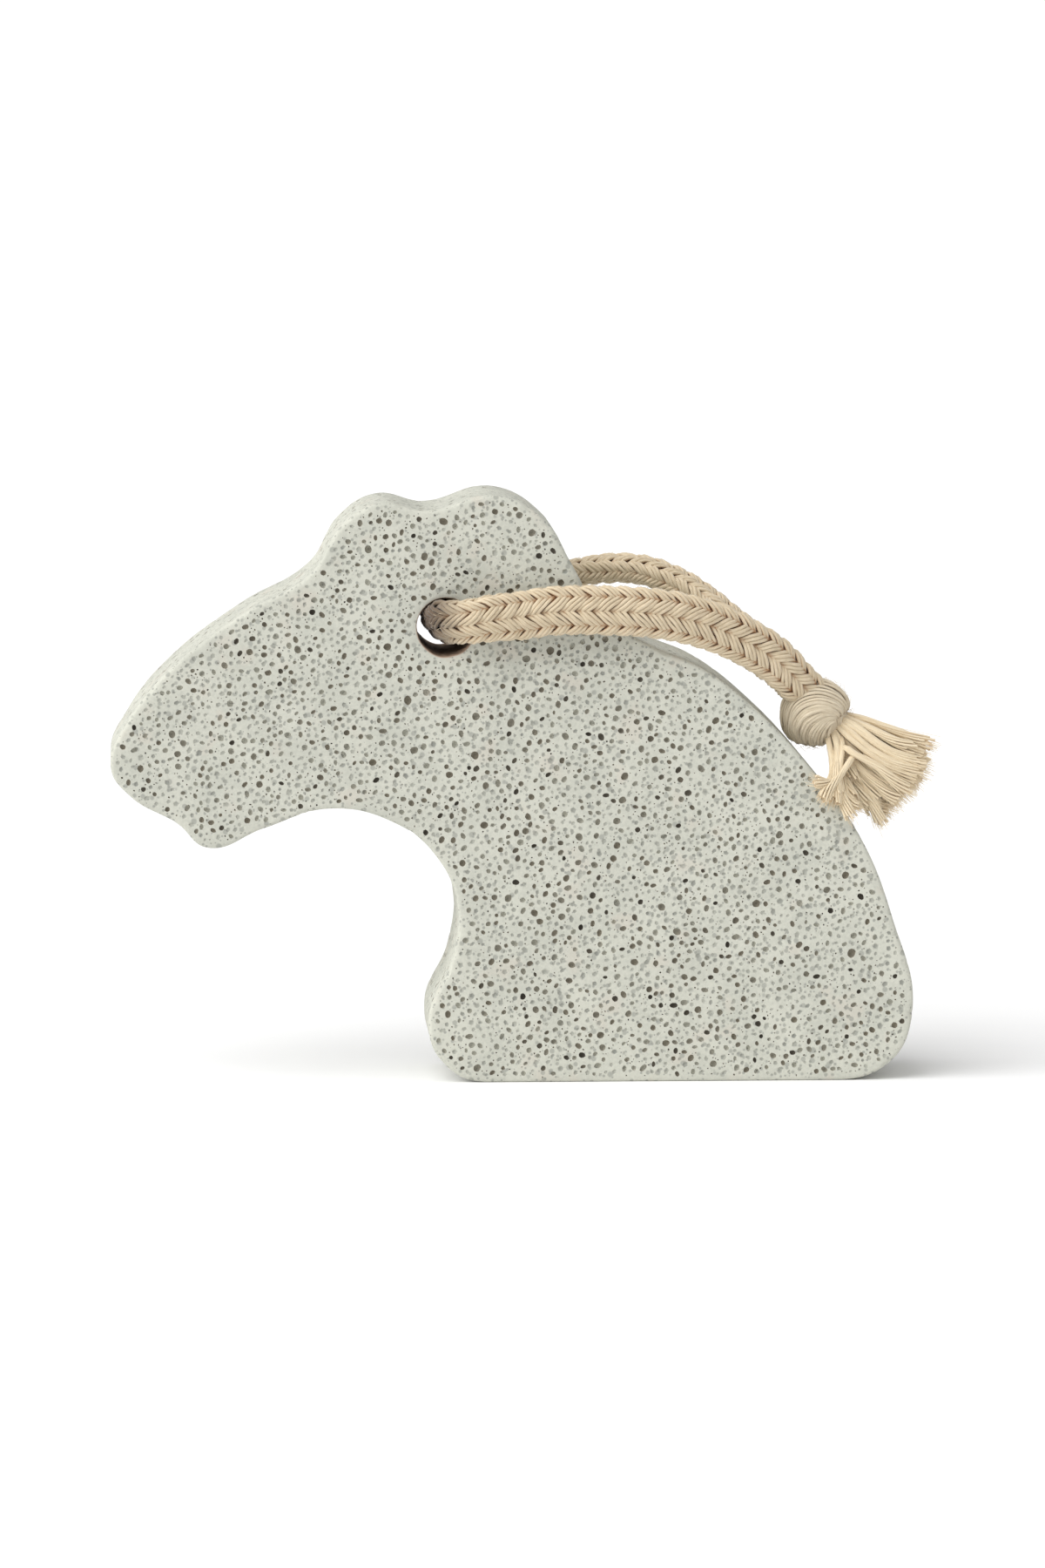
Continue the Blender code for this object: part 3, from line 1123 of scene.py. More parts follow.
@dataclass
class PumiceSlab:
    """The stone: a sawn slab with rounded edges, a drilled hole and thousands of open bubbles."""

    thickness: float = 22.0
    edge_rounding: float = 0.5
    rounding_steps: int = 3
    outline_spacing: float = 0.56
    hole_x: float = -10.2
    hole_z: float = 70.2
    hole_radius: float = 4.5
    hole_flare: float = 0.22
    hole_sides: int = 64
    bore_rows: int = 20
    bore_wear: float = 0.10
    wear_waves: float = 2.2
    bore_rough: float = 0.16
    bore_waves: Point2 = (0.9, 2.3)
    # painted shade in the hole: its strength, and how much less of it there is toward the top of the wall
    bore_shade: Point2 = (0.80, 0.20)
    rim: tuple[Point2, ...] = ((1.0, 0.0), (0.35, 0.3), (0.0, 1.0))
    back_share: float = 0.30
    side_share: float = 0.20
    wall: float = 0.05
    face_edge_gap: float = 0.12
    side_edge_gap: float = 0.3
    bites: int = 620
    bite_radius: Point2 = (0.25, 0.75)
    bite_depth: float = 0.7
    bite_band: float = 1.5
    bite_floor: float = 1.0
    grid_walls: int = 3
    grid_along: int = 3
    grid_rows: int = 6
    seed: int = 11
    weld_distance: float = 0.002
    sharp_above_deg: float = 38.0

    def build(self, material: Material) -> Piece:
        """Builds and dresses the stone.

        Args:
            material: the pumice finish.

        Returns:
            The stone.
        """
        self.outline = Outline(self.outline_spacing)
        patches = [self.face(Facing.FRONT), self.face(Facing.BACK), self.side(), self.bore()]
        patches += [self.rounding(facing) for facing in Facing]
        stone = mesh_object("stone", joined(patches))
        weld(stone, self.weld_distance)
        self.chip_edges(stone)
        shade(stone, self.sharp_above_deg)
        dress(stone, material, "pumice", "pumice_stone")
        return stone

    def inset(self, amount: float) -> Array:
        """The outline moved into the stone."""
        return self.outline.points - self.outline.outward * amount

    def hole_loop(self, flare: float) -> Array:
        """Corners of the hole, worn unevenly.

        Args:
            flare: how much wider than its bore the hole is.

        Returns:
            The corners in x and z.
        """
        angles = np.arange(self.hole_sides) * math.tau / self.hole_sides
        waves = self.wear_waves
        wear = [noise.noise(Vector((waves * math.cos(a), waves * math.sin(a), 0.0))) for a in angles]
        radius = self.hole_radius + flare + np.array(wear) * self.bore_wear
        return np.column_stack([self.hole_x + radius * np.cos(angles), self.hole_z + radius * np.sin(angles)])

    def face_room(self, places: Array) -> Array:
        """How far places on a face are from its edge and from the hole.

        Args:
            places: points in x and z.

        Returns:
            The smaller distance of each.
        """
        hole = np.linalg.norm(places - np.array([self.hole_x, self.hole_z]), axis=1)
        edge = self.outline.room(places) - self.edge_rounding
        return np.minimum(edge, hole - self.hole_radius - self.hole_flare - self.bore_wear)

    def solid_face_pits(self, seed: int) -> list[tuple[float, float, float]]:
        """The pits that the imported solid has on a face, drawn at random as it draws them.

        Args:
            seed: the face's seed.

        Returns:
            The x, the z and the radius of each.
        """
        draw = random.Random(seed)
        low, high = self.outline.coarse.min(0), self.outline.coarse.max(0)
        found: list[tuple[float, float, float]] = []
        while len(found) < SOLID_FACE_PITS:
            x, z = draw.uniform(low[0], high[0]), draw.uniform(0.0, high[1])
            radius = draw.triangular(*SOLID_PIT_RADIUS, SOLID_USUAL_RADIUS)
            if self.outline.room(np.array([[x, z]]))[0] < radius + SOLID_EDGE_MARGIN:
                continue
            if math.hypot(x - self.hole_x, z - self.hole_z) < self.hole_radius + radius + SOLID_EDGE_MARGIN:
                continue
            if all(math.hypot(x - a, z - b) > radius + c + SOLID_PIT_SPACING for a, b, c in found):
                found.append((x, z, radius))
        return found

    def face(self, facing: Facing) -> Patch:
        """One broad face with its pits.

        Args:
            facing: which face.

        Returns:
            The face inside its rounded edge and outside the hole's.
        """
        back = facing is Facing.BACK
        share = self.back_share if back else 1.0
        seed = self.seed + (1 if back else 0)
        low, high = self.outline.points.min(0), self.outline.points.max(0)
        scatter = Scatter(self.face_room, tuple(low), tuple(high), seed)
        for x, z, radius in self.solid_face_pits(seed):
            scatter.add(scatter.new_pit(x, z, radius * SOLID_TO_SCENE, BIG))
        area = self.face_area()
        for recipe in (OPEN, DISH, PINHOLE):
            scatter.fill(recipe, round(recipe.per_mm2 * share * area), self.wall, self.face_edge_gap)
        sheet = PittedSheet(seed)
        sheet.add_points([tuple(p) for p in self.inset(self.edge_rounding)], loop=True)
        sheet.add_points([tuple(p) for p in self.hole_loop(self.hole_flare)], loop=True)
        sheet.end_border()
        for pit in scatter.pits:
            sheet.add_pit(pit)
        log.info("%s face: %d pits", facing.name.lower(), len(scatter.pits))
        return self.laid_flat(sheet, facing)

    def face_area(self) -> float:
        """The area of a broad face.

        Returns:
            The area without the hole.
        """
        x, z = self.outline.points.T
        whole = abs(np.dot(x, np.roll(z, -1)) - np.dot(z, np.roll(x, -1))) / 2
        return float(whole) - math.pi * self.hole_radius**2

    def laid_flat(self, sheet: PittedSheet, facing: Facing) -> Patch:
        """The sheet as a broad face.

        Args:
            sheet: the cut sheet, in x and z.
            facing: the face it becomes.

        Returns:
            The face's patch.
        """
        edge, hole = self.inset(self.edge_rounding), self.hole_loop(self.hole_flare)
        places, depth, dish, triangles, pore = sheet.cut(lambda mid: inside(edge, mid) & ~inside(hole, mid))
        y = facing.value * (self.thickness / 2 - depth)
        points = np.column_stack([places[:, 0], y, places[:, 1]])
        if facing is Facing.BACK:
            triangles = triangles[:, ::-1]
        return Patch(points, [triangles], {"dish": dish}, {"pore": pore})

    def side(self) -> Patch:
        """The sawn sides and the base, cut flat as one strip and laid round the outline.

        Returns:
            The strip between the two rounded edges.
        """
        length = self.outline.length()
        half = self.thickness / 2 - self.edge_rounding
        scatter = Scatter(
            lambda p: np.minimum(np.minimum(p[:, 0], length - p[:, 0]), half - np.abs(p[:, 1])),
            (0.0, -half), (length, half), self.seed + 2,
        )
        for recipe in (BIG, OPEN, DISH, PINHOLE):
            count = round(recipe.per_mm2 * self.side_share * length * 2 * half)
            scatter.fill(recipe, count, self.wall, self.side_edge_gap)
        count = len(self.outline.points)
        arcs = np.arange(count + 1) * self.outline.spacing
        ends = np.linspace(-half, half, self.grid_rows + 1)[1:-1]
        border = [(a, -half) for a in arcs]
        border += [(length, y) for y in ends]
        border += [(a, half) for a in arcs[::-1]]
        border += [(0.0, y) for y in ends[::-1]]
        sheet = PittedSheet(self.seed + 2)
        sheet.add_points([(float(a), float(b)) for a, b in border], loop=True)
        inner = [(float(a), float(y)) for a in arcs[self.grid_along : count : self.grid_along] for y in ends]
        sheet.add_points([place for place in inner if scatter.clear(*place, self.grid_walls * self.wall)])
        for pit in scatter.pits:
            sheet.add_pit(pit)
        log.info("sides: %d pits", len(scatter.pits))
        places, depth, dish, triangles, pore = sheet.cut(lambda middles: np.ones(len(middles), bool))
        base, outward = self.outline.at(np.clip(places[:, 0], 0.0, length))
        flat = base - outward * depth[:, None]
        points = np.column_stack([flat[:, 0], places[:, 1], flat[:, 1]])
        return Patch(points, [triangles[:, ::-1]], {"dish": dish}, {"pore": pore})

    def rounding(self, facing: Facing) -> Patch:
        """The rounded edge between a face and the sides.

        Args:
            facing: the face.

        Returns:
            The strip of the edge.
        """
        rows = []
        for step in range(self.rounding_steps + 1):
            angle = math.pi / 2 * step / self.rounding_steps
            flat = self.inset(self.edge_rounding * (1 - math.sin(angle)))
            y = facing.value * (self.thickness / 2 - self.edge_rounding * (1 - math.cos(angle)))
            rows.append(np.column_stack([flat[:, 0], np.full(len(flat), y), flat[:, 1]]))
        return self.strip(rows, facing is Facing.BACK)

    def strip(self, rows: Sequence[Array], turned: bool) -> Patch:
        """A band of quads between closed rows of as many points.

        Args:
            rows: the rows, one beside the other.
            turned: whether the faces look the other way.

        Returns:
            The band's patch.
        """
        number = np.arange(len(rows) * len(rows[0])).reshape(len(rows), -1)
        here, there = number[:-1], number[1:]
        faces = np.stack([here, there, np.roll(there, -1, 1), np.roll(here, -1, 1)], -1).reshape(-1, 4)
        return Patch(np.concatenate(rows), [faces[:, ::-1] if turned else faces])

    def bore(self) -> Patch:
        """The wall of the drilled hole, with its worn rims.

        Returns:
            The wall's patch, with the painted shade of the bore, darkest low on the wall.
        """
        half = self.thickness / 2
        flare = self.hole_flare
        centre = np.array([self.hole_x, self.hole_z])
        rims = [(grown * flare, half - sunk * flare) for grown, sunk in self.rim]
        inner = np.linspace(half - flare, flare - half, self.bore_rows)[1:-1]
        profile = rims + [(0.0, y) for y in inner] + [(grown, -y) for grown, y in reversed(rims)]
        rows, shades = [], []
        for grown, y in profile:
            loop = self.hole_loop(grown)
            away = unit(loop - centre)
            if abs(y) < half - 2 * flare:
                wall = [Vector((x, y, z)) for x, z in loop]
                rough = [sum(noise.noise(place * waves) for waves in self.bore_waves) for place in wall]
                loop = loop + away * np.array(rough)[:, None] * self.bore_rough
            rows.append(np.column_stack([loop[:, 0], np.full(len(loop), -y), loop[:, 1]]))
            # painted shade on the wall between the hole's mouths, darkest low on the wall
            within = 0.0 if abs(y) >= half else 1.0
            shades.append(within * (self.bore_shade[0] - self.bore_shade[1] * away[:, 1]))
        patch = self.strip(rows, True)
        patch.on_points["bore"] = np.concatenate(shades)
        return patch

    def chip_edges(self, stone: Piece) -> None:
        """Breaks small bites out of the rounded edges, where bubbles were cut open.

        Args:
            stone: the welded stone.
        """
        mesh = stone.data
        places = np.empty(len(mesh.vertices) * 3, np.float32)
        mesh.vertices.foreach_get("co", places)
        places = places.reshape(-1, 3).astype(float) / MM
        near = np.flatnonzero(np.abs(np.abs(places[:, 1]) - self.thickness / 2) < self.bite_band)
        draw = random.Random(self.seed + 3)
        half = self.thickness / 2
        for number in range(self.bites):
            facing = -1.0 if number % 2 else 1.0
            place, outward = self.outline.at(np.array([draw.uniform(0.0, self.outline.length())]))
            radius = draw.triangular(*self.bite_radius, self.bite_radius[0])
            if place[0, 1] < self.bite_floor:
                continue
            centre = np.array([place[0, 0], facing * half, place[0, 1]])
            inward = unit(np.array([-outward[0, 0], -facing, -outward[0, 1]]))
            gap = np.linalg.norm(places[near] - centre, axis=1)
            touched = gap < radius
            places[near[touched]] += inward * ((radius - gap[touched]) * self.bite_depth)[:, None]
        mesh.vertices.foreach_set("co", (places * MM).astype(np.float32).ravel())
        mesh.update()


CORD_ROUTE = (
    (43.6, -6.1, 61.4), (39.6, -7.9, 65.2), (32.6, -10.4, 69.3), (24.8, -12.7, 71.9), (16.6, -13.9, 72.9),
    (7.0, -14.0, 73.0), (1.5, -14.1, 72.3), (-2.8, -14.9, 72.0), (-7.2, -15.0, 71.4), (-10.0, -12.9, 71.2),
    (-10.7, -9.0, 70.9), (-10.8, -3.0, 70.7), (-10.5, 3.0, 70.6), (-9.9, 9.0, 70.4), (-8.6, 12.7, 70.9),
    (-6.2, 14.9, 71.3), (-2.4, 15.0, 72.4), (4.5, 14.4, 74.6), (11.5, 14.2, 76.5), (16.6, 13.7, 77.2),
    (21.4, 12.6, 76.9), (25.7, 11.1, 75.5), (29.6, 9.3, 73.3), (34.0, 6.7, 69.9), (38.2, 4.1, 66.6),
    (43.8, 0.1, 61.4),
)
ENTRY = (46.4, -4.6, 58.6)
RETURN = (46.6, -1.8, 58.4)


def smooth_line(through: Sequence[Point3], steps: int) -> Array:
    """A smooth line through points.

    Args:
        through: the points.
        steps: how many pieces each stretch between two of them gets.

    Returns:
        The line's places.
    """
    knots = [Vector(point) for point in through]
    knots = [knots[0] * 2 - knots[1], *knots, knots[-1] * 2 - knots[-2]]
    fine = []
    for a, b, c, d in zip(knots, knots[1:], knots[2:], knots[3:]):
        fine += interpolate_bezier(b, b + (c - a) / 6, c - (d - b) / 6, c, steps)[:-1]
    return np.array([*fine, knots[-2]])


def run_of(line: Array) -> Array:
    """The distance of each place of a line from its start."""
    return np.concatenate([[0.0], np.cumsum(np.linalg.norm(np.diff(line, axis=0), axis=1))])


def evenly(line: Array, count: int) -> Array:
    """A line drawn again with even steps.

    Args:
        line: its places.
        count: how many places it gets.

    Returns:
        The new places.
    """
    arc = run_of(line)
    wanted = np.linspace(0.0, arc[-1], count)
    return np.column_stack([np.interp(wanted, arc, line[:, axis]) for axis in range(line.shape[1])])


class Route:
    """A smooth course through given points, with the directions of its section at each sample.

    Attributes:
        at: evenly spaced places on the course.
        arc: the distance of each from the start.
        along: the direction of the course.
        outward: the short way of the section.
        broad: the long way of the section.
    """

    STEPS = 16

    def __init__(self, through: Sequence[Point3], spacing: float, face_on: int, outward: Point3) -> None:
        """Draws the course.

        Args:
            through: its own points.
            spacing: about how far apart the samples are.
            face_on: the number of the point where the section's short way is known.
            outward: that short way.
        """
        line = smooth_line(through, self.STEPS)
        known = np.array(through[face_on])
        arc = run_of(line)
        count = round(arc[-1] / spacing) + 1
        self.arc = np.linspace(0.0, arc[-1], count)
        self.at = evenly(line, count)
        self.along = unit(np.gradient(self.at, axis=0))
        start = int(np.linalg.norm(self.at - known, axis=1).argmin())
        self.outward = np.empty_like(self.at)
        self.outward[start] = self.squared(np.array(outward), self.along[start])
        for index in range(start + 1, count):
            self.outward[index] = self.squared(self.outward[index - 1], self.along[index])
        for index in range(start - 1, -1, -1):
            self.outward[index] = self.squared(self.outward[index + 1], self.along[index])
        self.broad = np.cross(self.along, self.outward)

    @staticmethod
    def squared(direction: Array, along: Array) -> Array:
        """The direction made square to the course."""
        return unit(direction - along * np.dot(direction, along))

    def twist(self, angle: Array) -> None:
        """Turns the section about the course.

        Args:
            angle: the angle at each sample, in radians.
        """
        cos, sin = np.cos(angle)[:, None], np.sin(angle)[:, None]
        outward, broad = self.outward, self.broad
        self.outward = outward * cos + broad * sin
        self.broad = broad * cos - outward * sin

    def arc_near(self, place: Point3) -> float:
        """The distance along the course of the sample nearest to a place."""
        return float(self.arc[np.linalg.norm(self.at - np.array(place), axis=1).argmin()])


class Threads:
    """Makes bundles of thin round tubes, all with as many points."""

    SHARP_ABOVE_DEG = 80.0
    LAY_SPAN = 400.0
    SIDE_SHADE = 0.42
    TURN_SHADE = 0.85

    @staticmethod
    def tubes(
        paths: Array,
        radii: Array,
        sides: int,
        draw: Draw,
        out: Array | None = None,
    ) -> Patch:
        """Closed tubes along paths.

        Args:
            paths: places, as tube by point by x, y, z.
            radii: the radius of each tube at each point.
            sides: corners of the section.
            draw: the random draw for the tubes' tones.
            out: the way out of the piece at each point, or None where no side of a tube gets painted shade.

        Returns:
            The tubes, each painted with its own coordinates and tone, and with painted shade where its skin
            turns inward.
        """
        tubes, points, _ = paths.shape
        along = unit(np.gradient(paths, axis=1))
        normal = np.empty_like(paths)
        axis = np.eye(3)[np.abs(along[:, 0]).argmin(1)]
        normal[:, 0] = unit(axis - along[:, 0] * (axis * along[:, 0]).sum(1, keepdims=True))
        for index in range(1, points):
            last = normal[:, index - 1]
            share = (last * along[:, index]).sum(1, keepdims=True)
            normal[:, index] = unit(last - along[:, index] * share)
        across = np.cross(along, normal)
        angles = np.arange(sides) * math.tau / sides
        cos, sin = np.cos(angles)[:, None], np.sin(angles)[:, None]
        spokes = normal[:, :, None] * cos + across[:, :, None] * sin
        skin = paths[:, :, None] + spokes * radii[:, :, None, None]
        number = np.arange(tubes * points * sides).reshape(tubes, points, sides)
        caps = np.concatenate([number[:, 0, ::-1], number[:, -1]])
        steps = np.linalg.norm(np.diff(paths, axis=1), axis=2)
        run = np.concatenate([np.zeros((tubes, 1)), np.cumsum(steps, 1)], 1)
        run = run + draw.uniform(0.0, Threads.LAY_SPAN, (tubes, 1))
        lay = np.empty((tubes, points, sides, 3))
        lay[..., 0] = run[..., None]
        lay[..., 1] = np.cos(angles) * radii[..., None]
        lay[..., 2] = np.sin(angles) * radii[..., None]
        tone = np.broadcast_to(draw.uniform(0, 1, (tubes, 1, 1)), (tubes, points, sides))
        values = {"lay": lay.reshape(-1, 3), "tone": tone.ravel().copy()}
        # painted shade on the side of each tube that turns in toward the piece
        if out is not None:
            turned = (spokes * out[:, :, None]).sum(-1)
            values["buried"] = np.clip(Threads.SIDE_SHADE - Threads.TURN_SHADE * turned, 0.0, 1.0).ravel()
        return Patch(skin.reshape(-1, 3), [Threads.skin_quads(number), caps], values)

    @staticmethod
    def skin_quads(number: Array) -> Array:
        """The quads of tubes whose points have these numbers, as (tube by) ring by corner."""
        here, there = number[..., :-1, :], number[..., 1:, :]
        return np.stack([here, np.roll(here, -1, -1), np.roll(there, -1, -1), there], -1).reshape(-1, 4)


class FlatSection:
    """The section of a flattened hollow braid: a squarish oval, followed at an even pace."""

    STEPS = 720

    def __init__(self, flatness: float, squareness: float) -> None:
        """Measures the oval.

        Args:
            flatness: its half thickness over its half width.
            squareness: its exponent, 2 for an ellipse and more for a squarer one.
        """
        angle = np.linspace(0.0, math.tau, self.STEPS + 1)
        cos, sin = np.cos(angle), np.sin(angle)
        power = 2.0 / squareness
        self.x = np.sign(cos) * np.abs(cos) ** power
        self.y = np.sign(sin) * np.abs(sin) ** power
        steps = np.hypot(np.diff(self.x), np.diff(self.y) * flatness)
        arc = np.concatenate([[0.0], np.cumsum(steps)])
        self.round = float(arc[-1])
        self.share = arc / arc[-1]
        self.squareness = squareness

    def at(self, share: Array) -> tuple[Array, Array]:
        """Where the oval is after a share of its way round, for half sizes of one.

        Args:
            share: shares of the way round, from the end of the long axis.

        Returns:
            Its places along the long and the short axis.
        """
        turned = share % 1.0
        return np.interp(turned, self.share, self.x), np.interp(turned, self.share, self.y)


@dataclass
class Braid:
    """The cord: a flattened hollow braid of sixteen strands, each of three threads side by side."""

    half_width: float = 3.7
    half_thickness: float = 1.9
    squareness: float = 2.35
    strands_each_way: int = 8
    threads: int = 3
    stitch_pitch: float = 2.6
    thread_radius: float = 0.325
    thread_sides: int = 5
    sample: float = 0.62
    rise: float = 0.48
    crown: float = 0.10
    spread: float = 0.94
    switch_shift: float = 0.33
    wave_height: float = 1.4142
    slow_drift: Point2 = (0.006, 0.8)
    quick_drift: Point2 = (0.004, 2.3)
    uneven: Point2 = (0.04, 1.7)
    uneven_radius: float = 0.05
    # painted shade where threads dive under their neighbours, scaled along the cord: strongest at the knot
    # end, weaker further along
    inset_middle: float = 0.52
    inset_swing: float = 0.72
    gap_shade_at: Point3 = (0.0, 25.0, 60.0)
    gap_shade_scale: Point3 = (1.15, 0.95, 0.80)
    core_gap: float = 0.40
    core_sides: int = 28
    # painted shade on the core, part way toward the gap colour
    core_inset: float = 0.5
    twist_turn: float = 0.25
    # numbers of points of CORD_ROUTE, here and below
    edge_on_between: tuple[int, int] = (15, 19)
    hole_lean_deg: float = -31.0
    lean_between: tuple[int, int, int, int] = (6, 10, 13, 16)
    # where the painted dark shade inside the hole starts and where it is full, along x
    hole_shade_from: float = -6.6
    hole_shade_to: float = -12.6
    # shares of the half width and of the half thickness, at the two ends and at points between them
    first_size: Point2 = (0.80, 1.10)
    last_size: Point2 = (0.78, 1.10)
    sizes: tuple[tuple[int, float, float], ...] = (
        (1, 0.93, 1.05), (3, 1.0, 1.0), (6, 0.97, 1.0), (8, 0.89, 0.9), (11, 0.95, 1.25), (12, 0.90, 1.15),
        (15, 0.93, 0.85), (17, 0.92, 1.0), (19, 0.86, 1.0), (23, 0.90, 1.0),
    )
    fuzz_fibres: int = 700
    fuzz_radius: float = 0.022
    fuzz_length: Point2 = (0.35, 0.9)
    fuzz_margin: int = 6
    face_on: int = 5
    seed: int = 5
    diameter: float = 7.2

    def build(self, material: Material) -> Piece:
        """Builds and dresses the cord.

        Args:
            material: the braid's finish.

        Returns:
            The cord, without what is tied on it.
        """
        self.route = Route((ENTRY, *CORD_ROUTE, RETURN), self.sample, self.face_on, (0.0, -1.0, 0.0))
        self.twist_in_hole()
        self.twist_back_leg()
        self.section = FlatSection(self.half_thickness / self.half_width, self.squareness)
        draw = np.random.default_rng(self.seed)
        patches = [self.strands(draw), self.core(), self.fuzz(draw)]
        cord = mesh_object("braid", joined(patches))
        shade(cord, Threads.SHARP_ABOVE_DEG)
        dress(cord, material, "cotton_braid", "cord")
        return cord

    def length(self) -> float:
        """The length of the cord's middle line."""
        return float(self.route.arc[-1])

    def mark(self, number: int) -> float:
        """The distance along the cord of one of the points of CORD_ROUTE."""
        return self.route.arc_near(CORD_ROUTE[number])

    def twist_in_hole(self) -> None:
        """Leans the section over where the cord dives into the hole."""
        marks = [self.mark(number) for number in self.lean_between]
        lean = np.interp(self.route.arc, marks, [0.0, 1.0, 1.0, 0.0])
        self.route.twist(math.radians(self.hole_lean_deg) * lean * lean * (3 - 2 * lean))

    def twist_back_leg(self) -> None:
        """Turns the back leg on edge behind the stone."""
        start, end = (self.mark(number) for number in self.edge_on_between)
        share = np.clip((self.route.arc - start) / (end - start), 0.0, 1.0)
        self.route.twist(math.tau * self.twist_turn * share * share * (3 - 2 * share))

    def half_sizes(self) -> tuple[Array, Array]:
        """Half the width and half the thickness at each sample.

        Returns:
            Both, thinner round the hole's rims and drawn together at the knot.
        """
        marks = [(0.0, *self.first_size)]
        marks += [(self.mark(number), width, thickness) for number, width, thickness in self.sizes]
        marks.append((self.length(), *self.last_size))
        arc, width, thickness = (np.array(column) for column in zip(*marks))
        return (
            self.half_width * np.interp(self.route.arc, arc, width),
            self.half_thickness * np.interp(self.route.arc, arc, thickness),
        )

    def on_section(self, share: Array, rise: Array, index: Array) -> Array:
        """Places round the section at samples of the route.

        Args:
            share: how far round the section they are, as a share of its way round.
            rise: how far they stand out from it.
            index: the samples.

        Returns:
            The places.
        """
        width, thickness = self.half_sizes()
        x, y = self.section.at(share)
        power = self.squareness - 1.0
        out_x = np.sign(x) * np.abs(x) ** power / width[index]
        out_y = np.sign(y) * np.abs(y) ** power / thickness[index]
        size = np.hypot(out_x, out_y)
        flat_x = x * width[index] + rise * out_x / size
        flat_y = y * thickness[index] + rise * out_y / size
        return (
            self.route.at[index]
            + self.route.broad[index] * flat_x[..., None]
            + self.route.outward[index] * flat_y[..., None]
        )

    def strands(self, draw: Draw) -> Patch:
        """All threads of the braid, over two and under two.

        Args:
            draw: the random draw for their tones and unevenness.

        Returns:
            The threads.
        """
        arc = self.route.arc
        index = np.arange(len(arc))
        lead = self.stitch_pitch * self.strands_each_way
        slope = math.atan2(self.section.round * self.half_width, lead)
        step = 1.0 / (self.strands_each_way * self.threads)
        waves = math.tau * self.strands_each_way / 2
        gap_shade_scale = np.interp(arc, self.gap_shade_at, self.gap_shade_scale)
        (slow, slow_waves), (quick, quick_waves) = self.slow_drift, self.quick_drift
        paths, insets = [], []
        for lay in Lay:
            for strand in range(self.strands_each_way):
                sway = draw.uniform(0, math.tau)
                for thread in range(self.threads):
                    aside = thread - (self.threads - 1) / 2
                    share = lay.value * arc / lead + strand / self.strands_each_way
                    share = share + aside * step * self.spread
                    share = share + slow * np.sin(arc * slow_waves + sway)
                    share = share + quick * np.sin(arc * quick_waves + thread + sway)
                    wave = -np.sin(waves * (share - aside * step * self.switch_shift)) * lay.value
                    wave = self.wave_height * wave / np.sqrt(1.0 + wave * wave)
                    uneven = self.uneven[0] * np.sin(arc * self.uneven[1] + draw.uniform(0, math.tau))
                    rise = self.rise * wave + self.crown * (1 - abs(aside)) + uneven
                    paths.append(self.on_section(share, rise - self.rise, index))
                    # painted shade where the thread dives
                    inset = (self.inset_middle - self.inset_swing * wave) * gap_shade_scale
                    insets.append(np.clip(inset, 0.0, 1.0))
        paths = np.array(paths)
        plump = 1.0 + self.uneven_radius * draw.standard_normal((len(paths), 1))
        radii = self.thread_radius * plump * np.ones(paths.shape[:2])
        out = unit(paths - self.route.at)
        patch = Threads.tubes(paths, radii, self.thread_sides, draw, out)
        patch.on_points["inset"] = np.repeat(np.array(insets).ravel(), self.thread_sides)
        # painted dark shade on the cord inside the hole
        hole_shaded = np.clip((self.hole_shade_from - paths[:, :, 0]) / (self.hole_shade_from - self.hole_shade_to), 0, 1)
        patch.on_points["grime"] = np.repeat((hole_shaded * hole_shaded * (3 - 2 * hole_shaded)).ravel(), self.thread_sides)
        log.info("braid: %d threads at %.0f degrees to the cord", len(paths), math.degrees(slope))
        return patch

    def core(self) -> Patch:
        """The inside that shows between the stitches.

        Returns:
            A closed tube under the threads.
        """
        index = np.arange(0, len(self.route.arc), 2)
        shares = np.arange(self.core_sides) / self.core_sides
        sunk = np.full(self.core_sides, -self.core_gap - self.rise)
        rings = [self.on_section(shares, sunk, np.full(self.core_sides, i)) for i in index]
        number = np.arange(len(index) * self.core_sides).reshape(len(index), self.core_sides)
        caps = np.stack([number[0, ::-1], number[-1]])
        points = np.concatenate(rings)
        # painted shade: the core is mixed part way toward the gap colour
        values = {"inset": np.full(len(points), self.core_inset)}
        return Patch(points, [Threads.skin_quads(number), caps], values)

    def fuzz(self, draw: Draw) -> Patch:
        """Loose fibres that stand off the cord.

        Args:
            draw: the random draw.

        Returns:
            The fibres.
        """
        count = self.fuzz_fibres
        index = draw.integers(self.fuzz_margin, len(self.route.arc) - self.fuzz_margin, count)
        share = draw.uniform(0, 1, count)
        root = self.on_section(share, np.full(count, 0.1), index)
        outer = self.on_section(share, np.full(count, 1.0), index)
        out = unit(outer - root)
        along = self.route.along[index] * draw.choice([-1.0, 1.0], (count, 1))
        return hairs(root, out, along, self.fuzz_length, self.fuzz_radius, draw)


HAIR_SIDES = 3
HAIR_LIFT = (0.15, 0.55)
HAIR_SWAY = 0.25
HAIR_POINTS = (0.0, 0.35, 0.7, 1.0)


def hairs(
    root: Array,
    out: Array,
    along: Array,
    length: Point2,
    radius: float,
    draw: Draw,
) -> Patch:
    """Short curved fibres that leave a surface and lean along it.

    Args:
        root: where they start.
        out: the way out of the surface there.
        along: the way they lean.
        length: the shortest and the longest.
        radius: their radius.
        draw: the random draw.

    Returns:
        The fibres.
    """
    count = len(root)
    long = draw.uniform(*length, (count, 1))
    lift = draw.uniform(*HAIR_LIFT, (count, 1))
    sway = draw.standard_normal((count, 3)) * HAIR_SWAY
    steps = []
    for share in HAIR_POINTS:
        bow = math.sin(math.pi * 0.5 * share)
        steps.append(root + long * (along * share + out * lift * bow + sway * share * share))
    paths = np.stack(steps, 1)
    return Threads.tubes(paths, np.full(paths.shape[:2], radius), HAIR_SIDES, draw)


